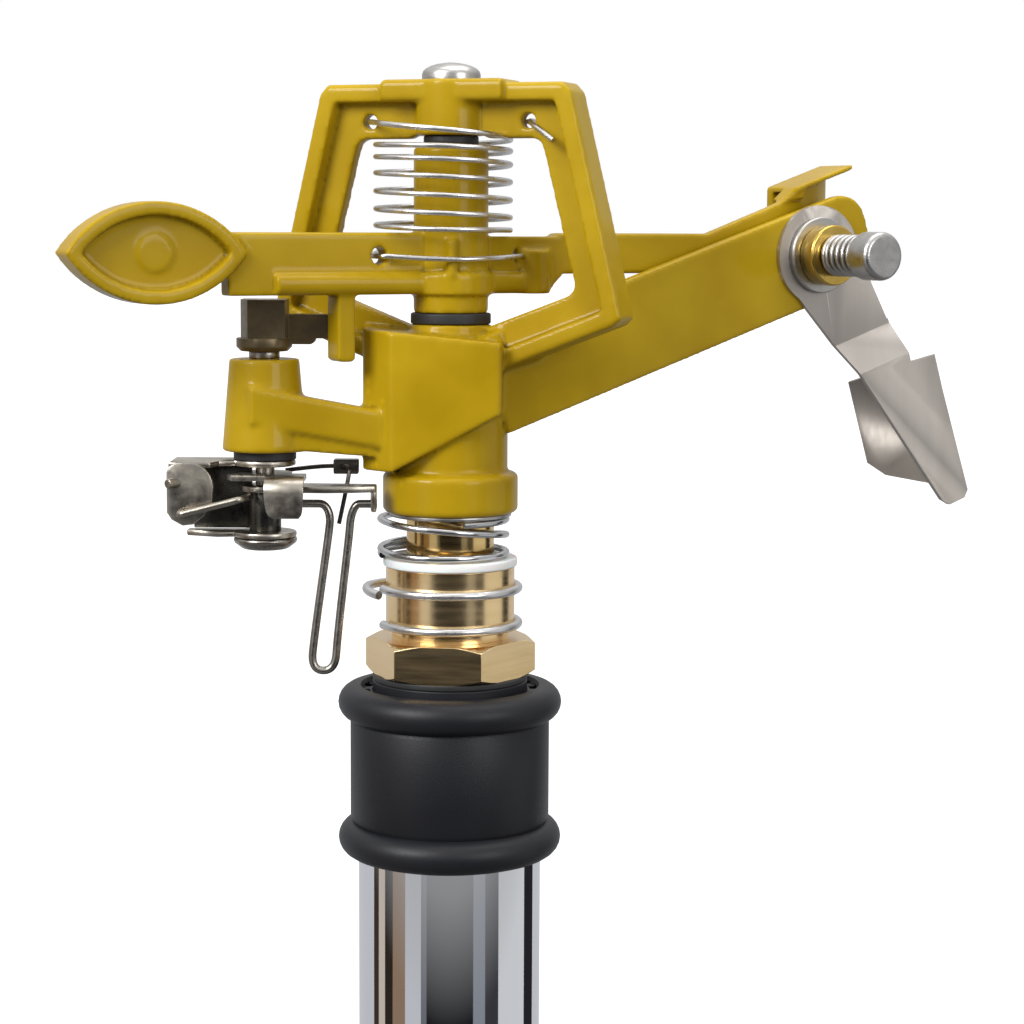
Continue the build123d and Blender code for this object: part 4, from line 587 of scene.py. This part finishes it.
# The barrel's height, turn and slope, and the rivet's place along and in front of it
barrel_level = (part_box("nylon_washer")[1][2] * 1000 + 7.8 + 20.9) / 1000
barrel_turn, barrel_slope, rivet_along, rivet_front = 31, -18, 0.0755, -0.009
pivot = (Matrix.Translation((0, 0, barrel_level)) @ Matrix.Rotation(math.radians(barrel_turn), 4, "Z")
         @ Matrix.Rotation(math.radians(barrel_slope), 4, "Y")
         @ Matrix.Translation((rivet_along, rivet_front, 0)) @ Matrix.Rotation(math.radians(90), 4, "X"))
# The coil starts beyond the plate, washer and bush on the rivet
coil_radius, coil_wire, coil_start = 3.35, 0.52, 5.8
levels = [(0, coil_start + 0.55), (360, coil_start + 0.9), (2000, coil_start + 7.7),
          (2340, coil_start + 8.05)]
bm = drawn_wire(arc_points(coil_radius, levels, step=20), coil_wire)
bmesh.ops.transform(bm, matrix=pivot, verts=bm.verts[:])
finished("deflector_spring_wound", bm, "head", rivet_mat, ["deflector_spring"])

# Trip hammer and shaft.
# A brown-black sintered block fixed on a steel shaft, with its finger behind the arm's lug. The shaft
# is riveted at its end and runs on a washer.
hammer_mat = finish("browned_steel", (0.155, 0.115, 0.058), (0.105, 0.078, 0.042), 0.38, 0.60, cloud=180,
                    grain=900, bump=0.2, spread=0.08)
steel_mat = finish("dark_steel", (0.40, 0.375, 0.335), (0.27, 0.25, 0.225), 0.30, 1.0, cloud=160, grain=900,
                   bump=0.16, spread=0.09)
dressed("trip_hammer", "trip_shaft_set", hammer_mat, 0.45)
dressed("trip_shaft", "trip_shaft_set", steel_mat, 0.15)
dressed("trip_rivet", "trip_shaft_set", steel_mat, 0.35)
dressed("trip_washer", "head", rubber_mat, 0.2)


# Trip bracket.
# Pressed from grey steel sheet, with burnished edges: two leaves round the trip shaft, and a rounded
# cheek that hangs from the upper leaf's left end at the front.
def pressed(bm, outline, thickness):
    """Flat sheet of a closed outline of (x, y, z) in millimetres, grown by its thickness."""
    rim = [bm.verts.new((x / 1000, y / 1000, z / 1000)) for x, y, z in outline]
    face = bm.faces.new(rim)
    grown = bmesh.ops.extrude_face_region(bm, geom=[face])["geom"]
    face.normal_update()
    moved = [v for v in grown if isinstance(v, bmesh.types.BMVert)]
    bmesh.ops.translate(bm, vec=Vector(thickness) / 1000, verts=moved)


def arc_outline(x, y, radius, start, end, step=15):
    """Points of an arc in the plane of a sheet, in millimetres."""
    count = max(int(abs(end - start) / step), 1)
    turns = [math.radians(start + (end - start) * index / count) for index in range(count + 1)]
    return [(x + radius * math.cos(a), y + radius * math.sin(a)) for a in turns]


def edged(bm, width, place):
    """Burnishes the edges of pressed sheets and sets them on an axis in millimetres."""
    bmesh.ops.recalc_face_normals(bm, faces=bm.faces[:])
    corners = [e for e in bm.edges if len(e.link_faces) == 2 and e.calc_face_angle(0) > 0.9]
    bmesh.ops.bevel(bm, geom=corners, offset=width / 1000, offset_type="OFFSET", affect="EDGES",
                    segments=2, profile=0.5, material=-1, clamp_overlap=True)
    bmesh.ops.translate(bm, vec=Vector(place) / 1000, verts=bm.verts[:])
    return bm


pressed_mat = finish("pressed_steel", (0.52, 0.475, 0.40), (0.30, 0.275, 0.24), 0.33, 1.0, cloud=170,
                     grain=700, bump=0.2, spread=0.10)
trip_axis, leaf_sheet = (-31.3, -8.0, 0), 1.0
low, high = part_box("trip_bracket")
leaf_low, leaf_high = low[2] * 1000, high[2] * 1000
bm = bmesh.new()
cheek = [(-13.2, leaf_high - 10.6), (-15.0, leaf_high - 9.6), (-15.8, leaf_high - 8.4),
         (-15.8, leaf_high - 1.6), (-15.2, leaf_high - 0.5), (-14.2, leaf_high)]
cheek += arc_outline(-12.0, leaf_high - 4.0, 4.0, 90, 0)
cheek += [(-8.2, leaf_high - 7.0), (-9.6, leaf_high - 9.0), (-11.4, leaf_high - 10.4)]
pressed(bm, [(x, -6.2, z) for x, z in cheek], (0, -leaf_sheet, 0))
upper = [(-15.6, -6.2), (-8.6, -6.2), (-7.4, -3.2), (-5.0, -2.4)]
upper += arc_outline(0, 0, 5.2, 210, 500) + [(-7.0, 3.4), (-15.6, 3.4)]
pressed(bm, [(x, y, leaf_high - leaf_sheet) for x, y in upper], (0, 0, leaf_sheet))
lower = [(-13.5, 0.6), (-8.0, -1.8), (-5.2, -1.2)]
lower += arc_outline(0, 0, 5.3, 200, 500) + [(-6.5, 3.4), (-13.5, 3.4)]
pressed(bm, [(x, y, leaf_low) for x, y in lower], (0, 0, leaf_sheet))
finished("trip_bracket_pressed", edged(bm, 0.28, trip_axis), "trip_lever_set", pressed_mat,
         ["trip_bracket"], sharp=40)

# Tongue of the trip bracket.
# A second leaf under the first, whose front edge is rolled down over a wide bend into a tapered tongue
# with round corners.
bm = bmesh.new()
tongue_level, roll = leaf_high - 2.2, 2.6
plan = [(-6.0, -4.0), (-5.0, -6.6), (0.6, -6.6), (7.2, -6.6), (7.2, -2.0)] + arc_outline(0, 0, 4.6, -25, 205)
leaf = bm.faces.new([bm.verts.new((x / 1000, y / 1000, tongue_level / 1000)) for x, y in plan])
front = next(e for e in leaf.edges if all(v.co.y < -0.0065 and v.co.x > 0 for v in e.verts))
rolled = bmesh.ops.spin(bm, geom=[front], cent=(0, -0.0066, (tongue_level - roll) / 1000), axis=(1, 0, 0),
                        angle=math.radians(90), steps=7, use_duplicate=False)["geom_last"]
edge = [g for g in rolled if isinstance(g, bmesh.types.BMEdge)]
for drop, narrow in ((1.6, 0.15), (1.5, 0.25), (0.7, 0.35), (0.5, 0.8)):
    grown = bmesh.ops.extrude_edge_only(bm, edges=edge)["geom"]
    edge = [g for g in grown if isinstance(g, bmesh.types.BMEdge)]
    ends = [g for g in grown if isinstance(g, bmesh.types.BMVert)]
    bmesh.ops.translate(bm, vec=(0, 0, -drop / 1000), verts=ends)
    middle = sum(v.co.x for v in ends) / len(ends)
    for v in ends:
        v.co.x += narrow / 1000 if v.co.x < middle else -narrow / 2000
bmesh.ops.recalc_face_normals(bm, faces=bm.faces[:])
bmesh.ops.solidify(bm, geom=bm.faces[:], thickness=0.0009)
finished("trip_tongue_rolled", edged(bm, 0.22, trip_axis), "trip_lever_set", pressed_mat,
         sharp=40)

# Trip tube, web and toggle spring.
# A blackened steel tube on the trip shaft carries the lever, and a sheet web closes the bracket behind
# it. The web is dark as painted shade, standing for the shade between the cheek and the tube. The toggle
# spring's free leg is bent wire that runs out over the lever, with a small block on it.
black_steel_mat = finish("blackened_steel", (0.120, 0.112, 0.100), (0.062, 0.058, 0.052), 0.30, 0.9,
                         cloud=170, grain=900, bump=0.2, spread=0.10)
tube_place = Matrix.Translation(Vector(trip_axis) / 1000)
low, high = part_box("trip_tube")
low, high, bore, radius = low[2] * 1000, high[2] * 1000, 1.65, 2.7
bm = turned([(bore, low), (radius, low), (radius, high), (bore, high)], 48, tube_place, ease=0.2)
finished("trip_tube_turned", bm, "trip_lever_set", black_steel_mat, ["trip_tube"])
# The web gets the dark blackened steel as painted shade behind the cheek
web = [(-12.4, leaf_low + 1.2), (-12.4, leaf_high - 1.2), (-2.4, leaf_high - 1.2), (-2.4, leaf_low + 1.2)]
block = [(11.3, leaf_high - 2.9), (15.6, leaf_high - 2.9), (15.6, leaf_high - 0.4), (11.3, leaf_high - 0.4)]
bm = bmesh.new()
pressed(bm, [(x, 2.6, z) for x, z in web], (0, -0.9, 0))
pressed(bm, [(x, 4.0, z) for x, z in block], (0, 2.6, 0))
finished("trip_bracket_shaded_web", edged(bm, 0.25, trip_axis), "trip_lever_set", black_steel_mat,
         sharp=40)
# Places from the trip shaft, and drops under the upper leaf's top
leg = ((3.0, 5.2, 2.4), (8.0, 5.2, 1.7), (12.6, 4.6, 1.5), (14.0, 3.0, 1.4), (14.3, 2.0, 2.4),
       (12.4, 1.8, 11.2))
leg_path = [(x + trip_axis[0], y + trip_axis[1], leaf_high - drop) for x, y, drop in leg]
finished("toggle_spring_leg", drawn_wire(leg_path, 0.38, order=3), "trip_lever_set",
         black_steel_mat)
dressed("toggle_pin", "trip_lever_set", pressed_mat, 0.2)
dressed("toggle_spring", "trip_lever_set", pressed_mat, 0.0)

# Trip lever.
# One pressed steel plate on the trip shaft, under the bracket's upper leaf. Two round-ended ears are
# bent down from it, and the trip wire hangs in them.
low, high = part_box("trip_lever")
ear_low, plate_high = low[2] * 1000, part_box("trip_bracket")[1][2] * 1000 - 4.3
lever_sheet, ear_sheet, ear_reach = 1.1, 0.9, 1.8
plan = arc_outline(0, 0, 4.2, 40, 320)
plan += [(6.0, -3.6), (10.5, -3.9), (15.0, -3.3), (18.9, -1.9), (18.9, 1.9), (12.0, 2.4)]
bm = bmesh.new()
pressed(bm, [(x, y, plate_high - lever_sheet) for x, y in plan], (0, 0, lever_sheet))
for ear_x in (5.7, 18.9):
    ear = [(-ear_reach, plate_high - 0.4), (-ear_reach, ear_low + 1.4)]
    ear += arc_outline(0, ear_low + ear_reach, ear_reach, 200, 340, 20)
    ear += [(ear_reach, ear_low + 1.4), (ear_reach, plate_high - 0.4)]
    pressed(bm, [(ear_x, y, z) for y, z in ear], (-ear_sheet, 0, 0))
finished("trip_lever_pressed", edged(bm, 0.25, trip_axis), "trip_lever_set", pressed_mat,
         ["trip_lever"], sharp=40)

# Trip wire.
# A hairpin of dark steel wire. Its two ends are bent in line and turn in the lever's ears, and its
# narrow bend hangs down to the tails of the stop rings.
pin_level = ear_low + 1.45
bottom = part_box("trip_wire")[0][2] * 1000 + 0.7
hairpin = [
    (-26.4, pin_level), (-25.0, pin_level), (-23.0, pin_level), (-21.2, pin_level), (-20.2, pin_level - 2.0),
    (-20.5, pin_level - 5.0), (-22.2, bottom + 12), (-23.2, bottom + 4.5), (-23.5, bottom + 1.6),
    (-22.6, bottom), (-20.6, bottom - 0.05), (-19.4, bottom + 1.4), (-19.2, bottom + 4.5),
    (-18.4, bottom + 12), (-17.0, pin_level - 5.0), (-16.8, pin_level - 2.2), (-15.9, pin_level),
    (-14.4, pin_level), (-13.4, pin_level), (-12.3, pin_level)]
bm = drawn_wire([(x, trip_axis[1], z) for x, z in hairpin], 0.7, order=3)
finished("trip_wire_bent", bm, "trip_wire", steel_mat, ["trip_wire"])

# Tripod hub and water inlet.
# A black moulded hub held on the riser by set screws, with a hinge bolt for each leg, and a moulded
# elbow in the riser's lower end. A brass hose connector sits in the elbow on a rubber seal.
dressed("tripod_hub", "stand", moulding_mat, 0.5)
dressed("inlet_elbow", "stand", moulding_mat, 0.5)
dressed("hub_screws", "stand", wire_mat, 0.2)
dressed("hinge_bolts", "stand", wire_mat, 0.3)
dressed("connector_seal", "stand", rubber_mat, 0.2)
dressed("hose_connector", "stand", brass_mat, 0.3)

# Legs.
# Each leg is two drawn alloy tubes, the lower sliding in the upper, with a black moulded cap at the
# hinge, a black twist lock between the tubes and a soft rubber foot.
alloy_mat = finish("leg_alloy", (0.66, 0.67, 0.69), (0.60, 0.61, 0.63), 0.30, 1.0, cloud=25, grain=160,
                   bump=0.02, spread=0.03)
foot_mat = finish("foot_rubber", (0.016, 0.016, 0.018), (0.026, 0.026, 0.028), 0.62, cloud=60, grain=900,
                  bump=0.35)
for number in (1, 2, 3):
    dressed(f"leg_cap_{number}", f"leg_{number}", moulding_mat, 0.5)
    dressed(f"upper_leg_{number}", f"leg_{number}", alloy_mat, 0.2)
    dressed(f"lock_collar_{number}", f"leg_lock_{number}", moulding_mat, 0.6)
    dressed(f"lower_leg_{number}", f"leg_low_{number}", alloy_mat, 0.2)
    dressed(f"leg_foot_{number}", f"leg_low_{number}", foot_mat, 0.8)
